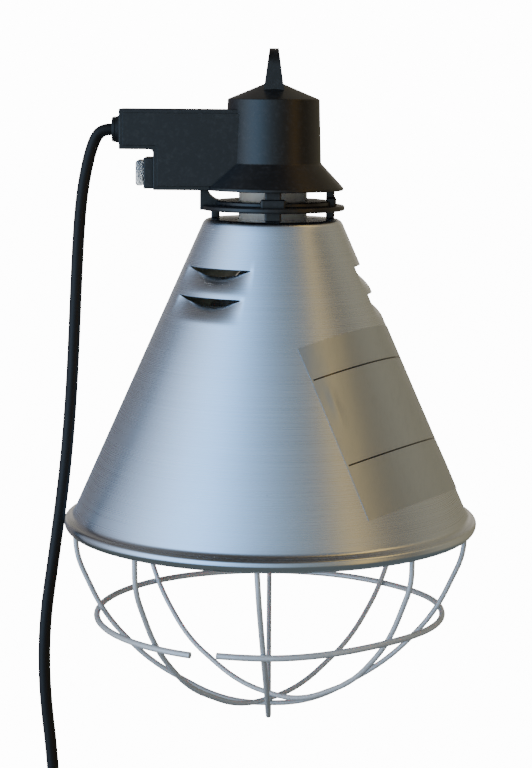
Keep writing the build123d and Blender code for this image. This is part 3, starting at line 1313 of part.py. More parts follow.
def build_all():
    live, neutral = build_supply_wires()
    return {
        "hood": build_hood(),
        "box_rear_cover": build_rear_cover(),
        "cover_gasket": build_gasket(),
        "cover_screws": build_cover_screws(),
        "vent_spacer": build_spacer(),
        "shade_screws": build_shade_screws(),
        "shade": build_shade(),
        "rating_label": build_label(),
        "lampholder_body": build_holder_body(),
        "lampholder_shell": build_holder_shell(),
        "lampholder_centre_contact": build_centre_contact(),
        "lampholder_terminals": build_holder_terminals(),
        "lampholder_screws": build_holder_screws(),
        "bulb_reflector": build_bulb_reflector(),
        "bulb_lens": build_bulb_lens(),
        "bulb_screw_cap": build_bulb_cap(),
        "bulb_cap_insulator": build_cap_insulator(),
        "bulb_cap_contact": build_cap_contact(),
        "bulb_stem": build_bulb_stem(),
        "bulb_filament": build_filament(),
        "guard_wire_front_back": build_guard_wire(GUARD_FRONT_AZIMUTH, 180.0, 0, GUARD_LOWEST_FLAT),
        "guard_wire_left_right": build_guard_wire(-90.0, 90.0, 1),
        "guard_wire_front_left": build_guard_wire(-40.2, 135.0, 2),
        "guard_wire_front_right": build_guard_wire(42.6, -135.0, 3),
        "guard_ring": build_guard_ring(),
        "switch_body": build_switch_body(),
        "switch_rocker": build_rocker(),
        "switch_splash_cap": build_splash_cap(),
        "switch_tabs": build_switch_tabs(),
        "half_power_diode": build_diode(),
        "cord_gland": build_gland(),
        "cord_inner_end": build_cord_end(),
        "cord_clamp": build_clamp(),
        "cord_clamp_screws": build_clamp_screws(),
        "terminal_block": build_terminal_block(),
        "terminal_block_screws": build_block_screws(),
        "live_core": live,
        "neutral_core": neutral,
        "switch_feed_wire": build_switch_feed(),
        "holder_live_wire": build_holder_live(),
        "holder_neutral_wire": build_holder_neutral(),
        "cord_hanging": build_hanging_cord(),
        "cord_coil": build_coil(),
        "coil_tie": build_tie(),
        "plug_body": build_plug(),
        "plug_pins": build_pins(),
        "plug_pin_sleeves": build_pin_sleeves(),
    }


os.makedirs("parts", exist_ok=True)
lower_to_eye = Pos(0, 0, -EYE_CENTRE)
for name, piece in build_all().items():
    export_step(lower_to_eye * piece, "parts/" + name + ".step")
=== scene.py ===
"""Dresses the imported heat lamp, from its hanging eye down to its guard and cord, on a plain pale stage.

Sizes are millimetres with Z = 0 in the rim plane, as the lamp is drawn, and to_row turns them into metres
in the lamp's own frame, whose origin is the centre of the hanging eye.
"""
import json
import math

import bpy
from mathutils import Matrix, Vector


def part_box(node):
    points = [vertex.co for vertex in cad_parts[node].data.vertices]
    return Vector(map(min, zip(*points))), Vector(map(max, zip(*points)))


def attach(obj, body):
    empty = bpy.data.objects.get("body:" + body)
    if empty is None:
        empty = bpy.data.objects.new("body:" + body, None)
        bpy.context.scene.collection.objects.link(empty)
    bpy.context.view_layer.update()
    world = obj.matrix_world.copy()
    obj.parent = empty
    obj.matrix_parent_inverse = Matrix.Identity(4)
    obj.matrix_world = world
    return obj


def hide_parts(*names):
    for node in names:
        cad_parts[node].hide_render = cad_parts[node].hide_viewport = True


bl_info = {
    "name": "Heat Lamp",
    "version": (1, 0, 0),
    "blender": (4, 5, 0),
    "location": "View3D > Sidebar > Heat Lamp",
    "description": "Builds a hanging infrared heat lamp around its packed model",
    "category": "Add Mesh",
}

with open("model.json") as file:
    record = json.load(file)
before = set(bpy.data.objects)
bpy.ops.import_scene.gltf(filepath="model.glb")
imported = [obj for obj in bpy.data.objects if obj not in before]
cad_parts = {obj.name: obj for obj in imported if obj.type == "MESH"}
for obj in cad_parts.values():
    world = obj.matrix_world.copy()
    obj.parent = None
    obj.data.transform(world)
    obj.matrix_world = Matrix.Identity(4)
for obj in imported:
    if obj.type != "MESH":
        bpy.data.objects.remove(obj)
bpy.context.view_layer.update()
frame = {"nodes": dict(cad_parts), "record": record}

# Photograph and camera
IMAGE_HEIGHT = 768
FOCAL_PIXELS = 1978.0
SENSOR_HEIGHT = 24.0
CAMERA_PLACE = (-2.7, -992.0, 217.0)
CAMERA_PITCH = 8.47
CAMERA_ROLL = 0.47

# Floor, backdrop and lamps: azimuth, height and distance, size, power and colour
FLOOR_SIZE = 40
FLOOR_GLOW = 13.5
BACKDROP_GLOW = 14.0
LIGHTS_AIM = -0.15
LIGHTS = (
    ("warm_lamp", 46.0, 1.25, 0.85, (0.16, 0.3), 1.5, (1.0, 0.84, 0.58)),
    ("soft_window", -60.0, 0.1, 1.6, (0.9, 0.9), 7.0, (0.95, 0.98, 1.0)),
)

# Room that the metal reflects: edges are heights of a direction, from -1 below to 1 overhead
ROOM_STRENGTH = 5.0
ROOM_LOW_EDGE = (-0.30, -0.52)
ROOM_TOP_EDGE = (0.57, 0.80)
ROOM_ZENITH_EDGE = (0.84, 0.96)
ROOM_BELOW = (0.022, 0.027, 0.029, 1)
ROOM_ZENITH = (0.012, 0.012, 0.012, 1)
STRIP_HEIGHTS = (0.57, 0.69)
STRIP_LEAN = 0.085
STRIP_SIDE = (0.54, 0.62)
CARD_DEPTH = (0.86, 0.93)
CARD_FOOT = (0.02, 0.05)
CARD_TOP = (0.26, 0.20)
CARD_COLOUR = (0.16, 0.15, 0.13, 1)

# Colours round the room as (azimuth / 360 + 0.5, red, green, blue), with 0 at the front and + to the right
ROOM_BAND = (
    (0.0, 0.06, 0.056, 0.046), (0.06, 0.034, 0.033, 0.034), (0.13, 0.038, 0.036, 0.038),
    (0.19, 0.054, 0.06, 0.074), (0.235, 0.12, 0.158, 0.225), (0.28, 0.2, 0.29, 0.42),
    (0.33, 0.235, 0.42, 0.72), (0.37, 0.22, 0.44, 0.82), (0.41, 0.17, 0.35, 0.65),
    (0.45, 0.112, 0.195, 0.32), (0.5, 0.078, 0.115, 0.155), (0.54, 0.05, 0.064, 0.076),
    (0.59, 0.043, 0.05, 0.052), (0.618, 0.044, 0.046, 0.042), (0.634, 0.21, 0.155, 0.056),
    (0.652, 0.25, 0.178, 0.056), (0.67, 0.07, 0.06, 0.042), (0.7, 0.036, 0.035, 0.03),
    (0.735, 0.026, 0.026, 0.024), (0.775, 0.062, 0.061, 0.049), (0.83, 0.072, 0.068, 0.052),
    (0.89, 0.058, 0.054, 0.038), (1.0, 0.06, 0.056, 0.046),
)
ROOM_ABOVE = (
    (0.0, 0.04, 0.04, 0.038), (0.3, 0.034, 0.04, 0.05), (0.5, 0.03, 0.037, 0.045),
    (0.6, 0.034, 0.035, 0.034), (0.634, 0.45, 0.32, 0.105), (0.655, 0.45, 0.32, 0.105),
    (0.69, 0.05, 0.042, 0.03), (0.8, 0.044, 0.04, 0.032), (1.0, 0.04, 0.04, 0.038),
)

# Shade
SHADE_TOP = 153.2
CONE_APEX = 229.84
CONE_HALF_ANGLE = 23.94
CONE_SLOPE = math.tan(math.radians(CONE_HALF_ANGLE))
MOUTH_RADIUS = 17.6
FLAT_RINGS = (22.0, 26.5, 30.0)
SHOULDER_FILLET = 4.0
UPPER_ROWS = (148.0, 144.0, 140.0, 136.0, 132.0)
LOWER_ROWS_TOP = 96.0
LOWER_ROW = 4.5
LOWER_ROW_COUNT = 20
RIM_RADIUS = 105.0
ROLL_RADIUS = 2.4
LIP_RADIUS = 4.2
LIP_WRAP = 75.0
FLARE_ANGLE = 80.0
LOUVRE_AZIMUTHS = (-41.5, 96.0, 207.0)
LOUVRE_EDGES = (130.7, 116.9)
LOUVRE_ROW = 0.92
LOUVRE_ROW_COUNT = 34
LOUVRE_CHORD = 42.0
LOUVRE_REACH = 12.0
LOUVRE_PUSH = 3.0
LOUVRE_DROP = 2.9
LOUVRE_BOW = 0.8
LOUVRE_FADE = 1.4
POST_AZIMUTHS = (0.0, 90.0, 180.0, 270.0)
VENT_HOLE_PLACE = 20.6
VENT_HOLE_RADIUS = 1.7

# Label
LABEL_WIDTH = 95.5
LABEL_HEIGHT = 88.5
LABEL_TOP = 139.5
LABEL_AZIMUTH = 58.3
LABEL_LIFT = 0.26
LABEL_THICKNESS = 0.00018
LABEL_RULES = (("upper_rule", 156.5), ("lower_rule", 200.4))
RULE_SIDE = 46.7
RULE_HALF = 0.36
RULE_LIFT = 0.29
RULE_THICKNESS = 0.00004
BLISTER_PLACE = (-41.0, 170.0)
BLISTER_SPREAD = (1.6, 9.0)
BLISTER_HEIGHT = 0.35
FOLDS_FROM = (5.0, 178.0)
FOLDS_REACH = (45.0, 50.0)
FOLDS_HEIGHT = 0.16

# Head as (radius, height), from the middle of its roof down its outside and up inside its skirt
SKIRT_BOTTOM = 167.5
FLOOR_BOTTOM = 178.5
HEAD_OUTLINE = (
    (0, 220.2), (4.0, 220.2), (22.9, 212.3), (23.9, 180.9), (35.2, 168.8), (35.2, SKIRT_BOTTOM),
    (33.0, SKIRT_BOTTOM), (32.6, 168.5), (22.8, FLOOR_BOTTOM), (0, FLOOR_BOTTOM),
)

# Switch box: its side outline, and how deep the case, the panels and the cover reach
BOX_TOP = 207.2
BOX_END = 76.0
BOX_NOTCH = 59.2
BOX_FACE = 15.8
BOX_CORNER = 1.6
CASE_FRONT = -15.0
CASE_BACK = 13.4
CASE_END = -11.5
PANEL_INSET = 2.0
PANEL_ROOT = -14.3
ARM_BOTTOM = 187.4
COVER_EDGE = -36.0
COVER_BACK = 15.0
COVER_ROOT = 14.8

# Hanging eye
EYE_TOP = 237.3
EYE_HALF = 11.0
EYE_CENTRE = 227.8
EYE_HOLE = 5.0
EYE_FOOT = 215.2
FIN_FOOT_HALF = 5.3
FIN_TOP_HALF = 2.3
LAND_HALF = 2.6
LAND_RADIUS = 8.5
LAND_REACH = 12.0

# Vent spacer and lampholder: outlines as (radius, height), and the front post and collar by their corners
PLATE_BOTTOM = 157.5
PLATE_TOP = 160.1
HUB_TOP = 162.3
SPACER_OUTLINE = (
    (MOUTH_RADIUS, PLATE_BOTTOM), (35.9, PLATE_BOTTOM), (35.9, PLATE_TOP), (29.0, PLATE_TOP),
    (29.0, HUB_TOP), (MOUTH_RADIUS, HUB_TOP),
)
POST_CORNERS = ((-4.0, -30.8, SHADE_TOP), (4.0, -26.6))
POST_TOPS = (169.9, 169.9, 169.9, 158.5)
COLLAR_CORNERS = ((-6.1, -31.6, 157.8), (6.1, -26.6, 164.2))
BRACKET_END = 36.3
BRACKET_HALF = 7.0
BRACKET_TAB = 3.5
BRACKET_CURVE = 7.2
HOLDER_OUTLINE = (
    (13.9, 138.0), (17.1, 138.0), (17.1, 174.5), (22.0, 174.5), (22.0, 178.4), (13.9, 178.4),
)

# Switch: half of each piece's depth, front to back, and of its height
SWITCH_HEIGHT = 175.6
SWITCH_FACE = -64.2
BEZEL_HALVES = (10.5, 7.7)
WELL_HALVES = (8.0, 4.6)
WELL_DEPTH = 4.4
CAP_HALVES = (9.1, 6.3)
CAP_DEPTH = 4.05
CAP_WALL = 0.8
CAP_ROOF = 0.85
CAP_SEAT = 0.3

# Cord gland: outline as (radius, distance from the box's end)
GLAND_HEIGHT = 196.8
GLAND_OUTLINE = (
    (7.2, 0), (7.2, 1.0), (6.65, 1.2), (6.6, 2.0), (6.35, 2.2), (6.35, 2.5), (6.5, 2.7), (6.0, 4.3),
)
GLAND_CLEARANCE = 0.05

# Bulb
BULB_RADIUS = 60.5
BULB_WALL = 2.2
BOWL_EDGE = 6.0
BOWL_WAIST = 47.2
BOWL_WAIST_SHARE = 0.42
NECK_RADIUS = 15.0
NECK_HEIGHT = 9.0
NECK_TOP_RADIUS = 13.4
NECK_WALL = 1.6
LENS_DEPTH = 14.5
LENS_MIDDLE = (0.52, 0.27)
LENS_INSIDE = 0.963
LENS_WALL = 2.1

# Guard: bends as (inset from the entry radius, height), and how far each leg's bends are raised
GUARD_ENTRY = 99.82
GUARD_BENDS = ((38.0, -76.0), (14.7, -51.5), (0.2, -20.0))
GUARD_TOP = 1.5
GUARD_LOWEST = -100.9
GUARD_SHARE = 0.42
GUARD_FRONT = -3.7
GUARD_FRONT_LEFT = -40.2
GUARD_FRONT_RIGHT = 42.6
GUARD_RAISES = {GUARD_FRONT: 1.2, GUARD_FRONT_RIGHT: 3.4, 90.0: 1.8}
GUARD_WIRES = (
    ("guard_wire_front_back", GUARD_FRONT, 180.0, 19.0),
    ("guard_wire_left_right", -90.0, 90.0, 22.0),
    ("guard_wire_front_left", GUARD_FRONT_LEFT, 135.0, 22.0),
    ("guard_wire_front_right", GUARD_FRONT_RIGHT, -135.0, 22.0),
)
WELD_GAP = 0.03
RING_RADIUS = 88.67
RING_HEIGHT = -49.6
RING_GAP = (-25.2, -16.4)

# Cord: listed points of the hanging part, then the coil's half turns
CORD_DIAMETER = 6.1
CORD_ROUTE = (
    (-80.3, 0, 196.8), (-83.8, 0, 196.8), (-87.8, 0, 194.2), (-90.6, -0.3, 187.4), (-93.2, -1.2, 177.0),
    (-95.5, -4, 162), (-96.8, -9, 140), (-97.7, -17, 106), (-98.6, -26, 70), (-101.3, -33, 31),
    (-106.4, -37.5, -9), (-111.8, -38.5, -46), (-112.2, -37, -80), (-108.6, -34.5, -116),
    (-107.5, -33, -150), (-107.5, -33, -182),
)
COIL_RADIUS = 38.0
COIL_PITCH = 7.0
COIL_LOOPS = 2
COIL_LAYERS = 4
COIL_STEPS = 7

RIM_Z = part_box("shade")[1].z - SHADE_TOP / 1000


def to_row(x, y, z):
    """Point in metres in the lamp's frame, from millimetres above the rim plane."""
    return Vector((x / 1000, y / 1000, z / 1000 + RIM_Z))


def rim_height(point):
    """Height in millimetres above the rim plane of a point in the lamp's frame."""
    return (point.z - RIM_Z) * 1000


def around(azimuth, radius, height):
    """Point at an azimuth in degrees: 0 is the front, 90 is +X."""
    turn = math.radians(azimuth)
    return to_row(radius * math.sin(turn), -radius * math.cos(turn), height)


def cone_radius(height):
    """Outer radius of the cone at a height above the rim plane, in millimetres."""
    return (CONE_APEX - height) * CONE_SLOPE


def circle_points(centre, radius, start, end, steps):
    """Points (across, height) along an arc, with angles in degrees from the outward direction."""
    points = []
    for step in range(steps + 1):
        angle = math.radians(start + (end - start) * step / steps)
        points.append((centre[0] + radius * math.cos(angle), centre[1] + radius * math.sin(angle)))
    return points


# Modelling helpers


def pick(piece):
    """Selects one piece alone and makes it active."""
    bpy.ops.object.select_all(action="DESELECT")
    piece.select_set(True)
    bpy.context.view_layer.objects.active = piece


def named(name):
    """The object just made, with a name for it and its mesh."""
    piece = bpy.context.object
    piece.name = name
    piece.data.name = name
    return piece


def primitive(name, operator, **settings):
    """A primitive as the start of a piece, with nothing else selected."""
    bpy.ops.object.select_all(action="DESELECT")
    operator(**settings)
    return named(name)


def close_up():
    """Merges the doubled points of the mesh in edit mode, turns its faces outwards and leaves edit mode."""
    bpy.ops.mesh.select_all(action="SELECT")
    bpy.ops.mesh.remove_doubles(threshold=1e-6)
    bpy.ops.mesh.normals_make_consistent(inside=False)
    bpy.ops.object.mode_set(mode="OBJECT")


def draw_chain(name, points):
    """New mesh in edit mode that holds a chain of edges through the points."""
    piece = primitive(name, bpy.ops.mesh.primitive_plane_add, size=0.01)
    bpy.ops.object.mode_set(mode="EDIT")
    bpy.ops.mesh.select_all(action="SELECT")
    bpy.ops.mesh.merge(type="CENTER")
    bpy.ops.transform.translate(value=points[0])
    for before, after in zip(points, points[1:]):
        bpy.ops.mesh.extrude_vertices_move(TRANSFORM_OT_translate={"value": after - before})
    bpy.ops.mesh.select_all(action="SELECT")
    return piece


def lathe(name, profile, steps=96, closed=False):
    """Surface turned about Z from a profile of (radius, height); a closed profile makes a solid wall."""
    chain = [to_row(radius, 0, height) for radius, height in profile]
    if closed:
        chain.append(chain[0].copy())
    piece = draw_chain(name, chain)
    bpy.ops.mesh.spin(steps=steps, angle=2 * math.pi, center=(0, 0, 0), axis=(0, 0, 1))
    close_up()
    return piece


def slab(name, outline, push):
    """Plate from a flat closed outline of points, pushed out along a vector."""
    piece = draw_chain(name, outline)
    bpy.ops.mesh.edge_face_add()
    bpy.ops.mesh.extrude_region_move(TRANSFORM_OT_translate={"value": push})
    close_up()
    return piece


def block(name, low, high):
    """Box between two corners in millimetres, as the start of a piece."""
    centre = (to_row(*low) + to_row(*high)) / 2
    size = [abs(b - a) / 1000 for a, b in zip(low, high)]
    piece = primitive(name, bpy.ops.mesh.primitive_cube_add, size=1, location=centre, scale=size)
    settle(piece)
    return piece


def rod(name, start, end, radius, sides=48):
    """Cylinder between two points in millimetres, as the start of a piece or as a cutter."""
    first = to_row(*start)
    along = to_row(*end) - first
    piece = primitive(name, bpy.ops.mesh.primitive_cylinder_add, vertices=sides, radius=radius / 1000,
                      depth=along.length, location=first + along / 2,
                      rotation=along.to_track_quat("Z", "Y").to_euler())
    settle(piece)
    return piece


def settle(piece):
    """Puts the object's place, turn and scale into its mesh."""
    pick(piece)
    bpy.ops.object.transform_apply(location=True, rotation=True, scale=True)


def modify(piece, kind, **settings):
    """Adds a modifier with its settings and applies it."""
    modifier = piece.modifiers.new(kind.title(), kind)
    for key, value in settings.items():
        setattr(modifier, key, value)
    bpy.context.view_layer.objects.active = piece
    bpy.ops.object.modifier_apply(modifier=modifier.name)


def round_edges(piece, width, segments=2, angle=25.0):
    """Bevels the edges that are sharper than an angle in degrees."""
    modify(piece, "BEVEL", width=width / 1000, segments=segments, limit_method="ANGLE",
           angle_limit=math.radians(angle), use_clamp_overlap=True)


def combine(piece, other, operation="UNION"):
    """Boolean of a piece with another, which is used up."""
    modify(piece, "BOOLEAN", object=other, operation=operation, solver="EXACT")
    mesh = other.data
    bpy.data.objects.remove(other)
    bpy.data.meshes.remove(mesh)


def smooth(piece, angle=35.0):
    """Smooth shading, with edges sharper than an angle in degrees kept."""
    pick(piece)
    bpy.ops.object.shade_smooth_by_angle(angle=math.radians(angle))


def smooth_flats(piece, angle=35.0):
    """Smooth shading with normals weighted by area, so that flat faces between rounded edges look flat."""
    smooth(piece, angle)
    modify(piece, "WEIGHTED_NORMAL", keep_sharp=True, weight=80)


def join(name, pieces):
    """Several meshes as one object."""
    bpy.ops.object.select_all(action="DESELECT")
    for piece in pieces:
        piece.select_set(True)
    bpy.context.view_layer.objects.active = pieces[0]
    bpy.ops.object.join()
    return named(name)


def strand(name, kind, path, radius, resolution):
    """Round curve through points in metres, with flat closed ends."""
    curve = bpy.data.curves.new(name, "CURVE")
    curve.dimensions = "3D"
    spline = curve.splines.new(kind)
    spline.points.add(len(path) - 1)
    for point, place in zip(spline.points, path):
        point.co = (*place, 1)
    curve.bevel_depth = radius / 1000
    curve.bevel_resolution = resolution
    curve.use_fill_caps = True
    piece = bpy.data.objects.new(name, curve)
    bpy.context.scene.collection.objects.link(piece)
    return piece


def wire(name, path, radius, resolution=4):
    """Round bar along a path of points in metres, as a mesh."""
    pick(strand(name, "POLY", path, radius, resolution))
    bpy.ops.object.convert(target="MESH")
    piece = named(name)
    bpy.ops.object.mode_set(mode="EDIT")
    close_up()
    return piece


def bent_path(corners, share, steps=8):
    """Straight runs joined by smooth bends, each as long as a share of its shorter run."""
    path = [corners[0]]
    for before, corner, after in zip(corners, corners[1:], corners[2:]):
        reach = share * min((corner - before).length, (after - corner).length)
        start = corner + (before - corner).normalized() * reach
        end = corner + (after - corner).normalized() * reach
        for step in range(steps + 1):
            t = step / steps
            path.append(start * (1 - t) ** 2 + corner * 2 * t * (1 - t) + end * t ** 2)
    path.append(corners[-1])
    return path


def finish_piece(piece, body, slot, *nodes):
    """Gives a piece its material, its body and the nodes that it stands for."""
    piece.data.materials.clear()
    piece.data.materials.append(material_for(slot))
    dress(piece, body, slot, *nodes)


def dress(piece, body, slot, *nodes):
    """Puts a piece on its body and hides the nodes that it stands for; the slot is not used."""
    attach(piece, body)
    if nodes:
        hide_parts(*nodes)


# Materials

BLACK_SHEEN = (1.0, 0.82, 0.66, 1)


def sum_node(operation, swapped=False):
    """Method that adds a Math node on a signal and another value, in that order or swapped."""

    def apply(signal, other):
        pair = (other, signal) if swapped else (signal, other)
        return signal.tree.add("ShaderNodeMath", {"operation": operation}, pair)

    return apply


class Signal:
    """A socket of a node tree, so that sums on it are written as expressions."""

    def __init__(self, tree, socket):
        self.tree = tree
        self.socket = socket

    __add__ = sum_node("ADD")
    __radd__ = sum_node("ADD", True)
    __sub__ = sum_node("SUBTRACT")
    __rsub__ = sum_node("SUBTRACT", True)
    __mul__ = sum_node("MULTIPLY")
    __rmul__ = sum_node("MULTIPLY", True)
    __truediv__ = sum_node("DIVIDE")
    __rtruediv__ = sum_node("DIVIDE", True)


class Tree:
    """Nodes of a material or of the world, added one by one by type, settings and values."""

    def __init__(self, node_tree):
        self.nodes = node_tree.nodes
        self.links = node_tree.links
        self.nodes.clear()

    def add(self, kind, settings=None, values=(), output=0):
        """A node of a type, with its settings and its sockets' values or links, as the output it gives."""
        node = self.nodes.new(kind)
        for key, value in (settings or {}).items():
            setattr(node, key, value)
        pairs = values.items() if isinstance(values, dict) else enumerate(values)
        for key, value in pairs:
            if isinstance(value, Signal):
                self.links.new(value.socket, node.inputs[key])
            else:
                node.inputs[key].default_value = value
        return Signal(self, node.outputs[output]) if len(node.outputs) else None

    def coordinates(self, stretch=(1, 1, 1)):
        """The piece's own coordinates in metres, stretched."""
        place = self.add("ShaderNodeTexCoord", output="Object")
        return self.add("ShaderNodeMapping", None, {"Vector": place, "Scale": stretch})

    def noise(self, stretch, detail=3.0, roughness=0.5):
        """Noise over the piece's own coordinates, with as many cells to the metre as they are stretched."""
        return self.add("ShaderNodeTexNoise", None, {
            "Vector": self.coordinates(stretch), "Scale": 1.0, "Detail": detail, "Roughness": roughness,
        })

    def ramp(self, value, stops):
        """Colour ramp through (position, red, green, blue) stops, the first at 0 and the last at 1."""
        ramp = self.add("ShaderNodeValToRGB", None, [value])
        elements = ramp.socket.node.color_ramp.elements
        elements[0].color = (*stops[0][1:], 1)
        elements[1].color = (*stops[-1][1:], 1)
        for position, *colour in stops[1:-1]:
            elements.new(position).color = (*colour, 1)
        return ramp

    def blend(self, factor, first, second):
        """Mix of two colours."""
        node = self.nodes.new("ShaderNodeMix")
        node.data_type = "RGBA"
        for index, value in ((0, factor), (6, first), (7, second)):
            if isinstance(value, Signal):
                self.links.new(value.socket, node.inputs[index])
            else:
                node.inputs[index].default_value = value
        return Signal(self, node.outputs[2])

    def clamp(self, value, low, high, new_low=0.0, new_high=1.0):
        """Value spread from one range to another, held at its ends."""
        return self.add("ShaderNodeMapRange", {"clamp": True}, [value, low, high, new_low, new_high])

    def bump(self, height, strength, distance):
        """Fine relief for a shader's normal."""
        values = {"Height": height, "Strength": strength, "Distance": distance}
        return self.add("ShaderNodeBump", None, values)


def new_material(name, paint, **fixed):
    """Material with one principled shader: paint returns what changes over the surface."""
    material = bpy.data.materials.new(name)
    material.use_nodes = True
    tree = Tree(material.node_tree)
    values = dict(fixed)
    values.update(paint(tree))
    shader = tree.add("ShaderNodeBsdfPrincipled", None, values)
    tree.add("ShaderNodeOutputMaterial", None, {"Surface": shader})
    return material


def weigh(signals, weights, total=0.0):
    """Sum of a number and of signals by their weights."""
    for signal, weight in zip(signals, weights):
        if weight:
            total = total + signal * weight
    return total


def mottled(name, colour, noises, mixes, roughness, relief, **fixed):
    """Material whose noises vary its colour, roughness and fine relief.

    Noises are (stretch, detail, roughness), and mixes are (place of the noise, low, high, most, colour).
    Roughness is a base and each noise's weight, and relief is a strength, a distance and each weight.
    """

    def paint(tree):
        signals = [tree.noise(*noise) for noise in noises]
        tone = rgb(colour)
        for place, low, high, most, other in mixes:
            tone = tree.blend(tree.clamp(signals[place], low, high, 0.0, most), tone, rgb(other))
        base, *weights = roughness
        strength, distance, *heights = relief
        return {"Base Color": tone, "Roughness": weigh(signals, weights, base),
                "Normal": tree.bump(weigh(signals, heights), strength, distance)}

    return new_material(name, paint, **fixed)


def rgb(colour, share=1.0):
    """Colour with its alpha, lightened or darkened by a share."""
    return (colour[0] * share, colour[1] * share, colour[2] * share, 1.0)


def spun_aluminium(colour):
    """Sheet turned on a lathe: fine rings round the axis, faint dull patches and small specks."""

    def paint(tree):
        fine = tree.noise((9, 9, 2400), 2.0, 0.6)
        broad = tree.noise((5, 5, 520), 3.0, 0.6)
        patch = tree.noise((14, 14, 30), 4.0, 0.6)
        specks = tree.noise((420, 420, 260), 1.0)
        lines = tree.clamp(fine * 0.75 + broad * 0.25, 0.32, 0.68)
        tone = tree.blend(lines, rgb(colour, 0.95), rgb(colour, 1.04))
        tone = tree.blend(tree.clamp(patch, 0.45, 0.7, 0.0, 0.1), tone, rgb(colour, 0.78))
        tone = tree.blend(tree.clamp(specks, 0.79, 0.86, 0.0, 0.35), tone, rgb(colour, 0.45))
        place = tree.add("ShaderNodeSeparateXYZ", None, [tree.coordinates()])
        height = Signal(tree, place.socket.node.outputs["Z"])
        rolled = tree.clamp(height, RIM_Z + 0.007, RIM_Z + 0.003)
        rough = 0.25 + lines * 0.02 + patch * 0.03 - rolled * 0.05
        return {"Base Color": tone, "Roughness": rough,
                "Normal": tree.bump(lines * 0.7 + specks * 0.3, 0.06, 0.0001)}

    material = new_material("spun_aluminium", paint, Metallic=1.0, Anisotropic=0.75)
    tree = material.node_tree
    shader = next(node for node in tree.nodes if node.type == "BSDF_PRINCIPLED")
    tangent = tree.nodes.new("ShaderNodeTangent")
    tangent.direction_type = "RADIAL"
    tangent.axis = "Z"
    tree.links.new(tangent.outputs[0], shader.inputs["Tangent"])
    return material


def inner_aluminium_painted_shade():
    """Inner side of the shade: the same sheet, unpolished, in a darker olive colour that is painted shade
    and warm reflection inside the cone, with mottled dust patches.
    """
    return mottled(
        "inner_aluminium_painted_shade", (0.66, 0.66, 0.58), noises=[((12, 12, 900), 3.0, 0.6), ((70, 70, 70), 4.0, 0.65)],
        mixes=[(1, 0.35, 0.7, 1.0, (0.5, 0.5, 0.43))], roughness=(0.5, 0, 0.12), relief=(0.1, 0.0002, 1),
        Metallic=1.0)


def label_foil(colour):
    """Thin silver foil, glossier than the sheet, with slight waves and scuffs."""
    return mottled(
        "label_foil", colour, noises=[((60, 60, 34), 2.0, 0.5), ((500, 90, 160), 3.0, 0.6)],
        mixes=[(1, 0.5, 0.8, 0.25, rgb(colour, 0.8))], roughness=(0.33, 0, 0.1), relief=(0.25, 0.0012, 1),
        Metallic=1.0)


def moulded_plastic(name, colour, roughness, grain=0.1):
    """Moulded plastic with a fine grain, faint flow marks and slightly dusty patches."""
    return mottled(
        name, colour,
        noises=[((2600, 2600, 2600), 2.0), ((45, 45, 70), 4.0, 0.6), ((420, 420, 420), 5.0, 0.75)],
        mixes=[(2, 0.5, 0.78, 0.5, (0.045, 0.047, 0.05))], roughness=(roughness - 0.12, 0, 0.14, 0.16),
        relief=(grain, 0.00012, 1), **{"Specular Tint": BLACK_SHEEN, "Specular IOR Level": 0.7})


def soft_rubber(name, colour, roughness=0.6):
    """Rubber or soft PVC with a matt skin and faint handling marks."""
    return mottled(
        name, colour, noises=[((900, 900, 900), 3.0, 0.6), ((120, 120, 60), 4.0, 0.65)],
        mixes=[(1, 0.45, 0.8, 0.4, rgb(colour, 1.7))], roughness=(roughness - 0.08, 0, 0.16),
        relief=(0.12, 0.00015, 1), **{"Specular Tint": BLACK_SHEEN, "Specular IOR Level": 0.35})


def plated_metal(name, colour, roughness):
    """Plated steel or brass with fine scratches and dull spots."""
    return mottled(
        name, colour, noises=[((260, 260, 260), 4.0, 0.6), ((1800, 1800, 240), 2.0, 0.5)],
        mixes=[(0, 0.48, 0.75, 0.3, rgb(colour, 0.6))], roughness=(roughness, 0.16, 0.05),
        relief=(0.08, 0.0001, 0, 1), Metallic=1.0)


def zinc_wire(colour):
    """Zinc plated guard wire: pale, slightly milky, with duller streaks."""
    return mottled(
        "zinc_wire", colour, noises=[((150, 150, 150), 4.0, 0.6), ((900, 900, 300), 2.0, 0.5)],
        mixes=[(0, 0.4, 0.75, 0.5, rgb(colour, 0.82))], roughness=(0.38, 0.14, 0.05),
        relief=(0.12, 0.0002, 0.6, 0.4), Metallic=0.35)


def porcelain():
    """Off-white glazed ceramic with faint specks."""
    return mottled(
        "porcelain", (0.62, 0.62, 0.55), noises=[((60, 60, 60), 3.0), ((700, 700, 700), 2.0)],
        mixes=[(0, 0.35, 0.7, 1.0, (0.72, 0.72, 0.66)), (1, 0.72, 0.8, 0.4, (0.3, 0.28, 0.22))],
        roughness=(0.22, 0.15), relief=(0.05, 0.0004, 1))


def silvered_glass():
    """Reflector bulb, silvered inside, so it looks like soft mirror metal from outside."""
    return mottled(
        "silvered_glass", (0.8, 0.8, 0.82), noises=[((35, 35, 35), 4.0, 0.6)],
        mixes=[(0, 0.35, 0.75, 1.0, (0.62, 0.62, 0.64))], roughness=(0.16, 0.12), relief=(0.1, 0.001, 1),
        Metallic=0.9, **{"Coat Weight": 0.6, "Coat Roughness": 0.04})


def clear_silicone():
    """Clear soft cap, a little milky, with faint dust."""
    return mottled(
        "clear_silicone", (0.44, 0.46, 0.47), noises=[((500, 500, 500), 3.0)],
        mixes=[(0, 0.5, 0.8, 1.0, (0.34, 0.36, 0.37))], roughness=(0.1, 0.12), relief=(0.08, 0.0002, 1),
        **{"Transmission Weight": 0.7, "IOR": 1.41})


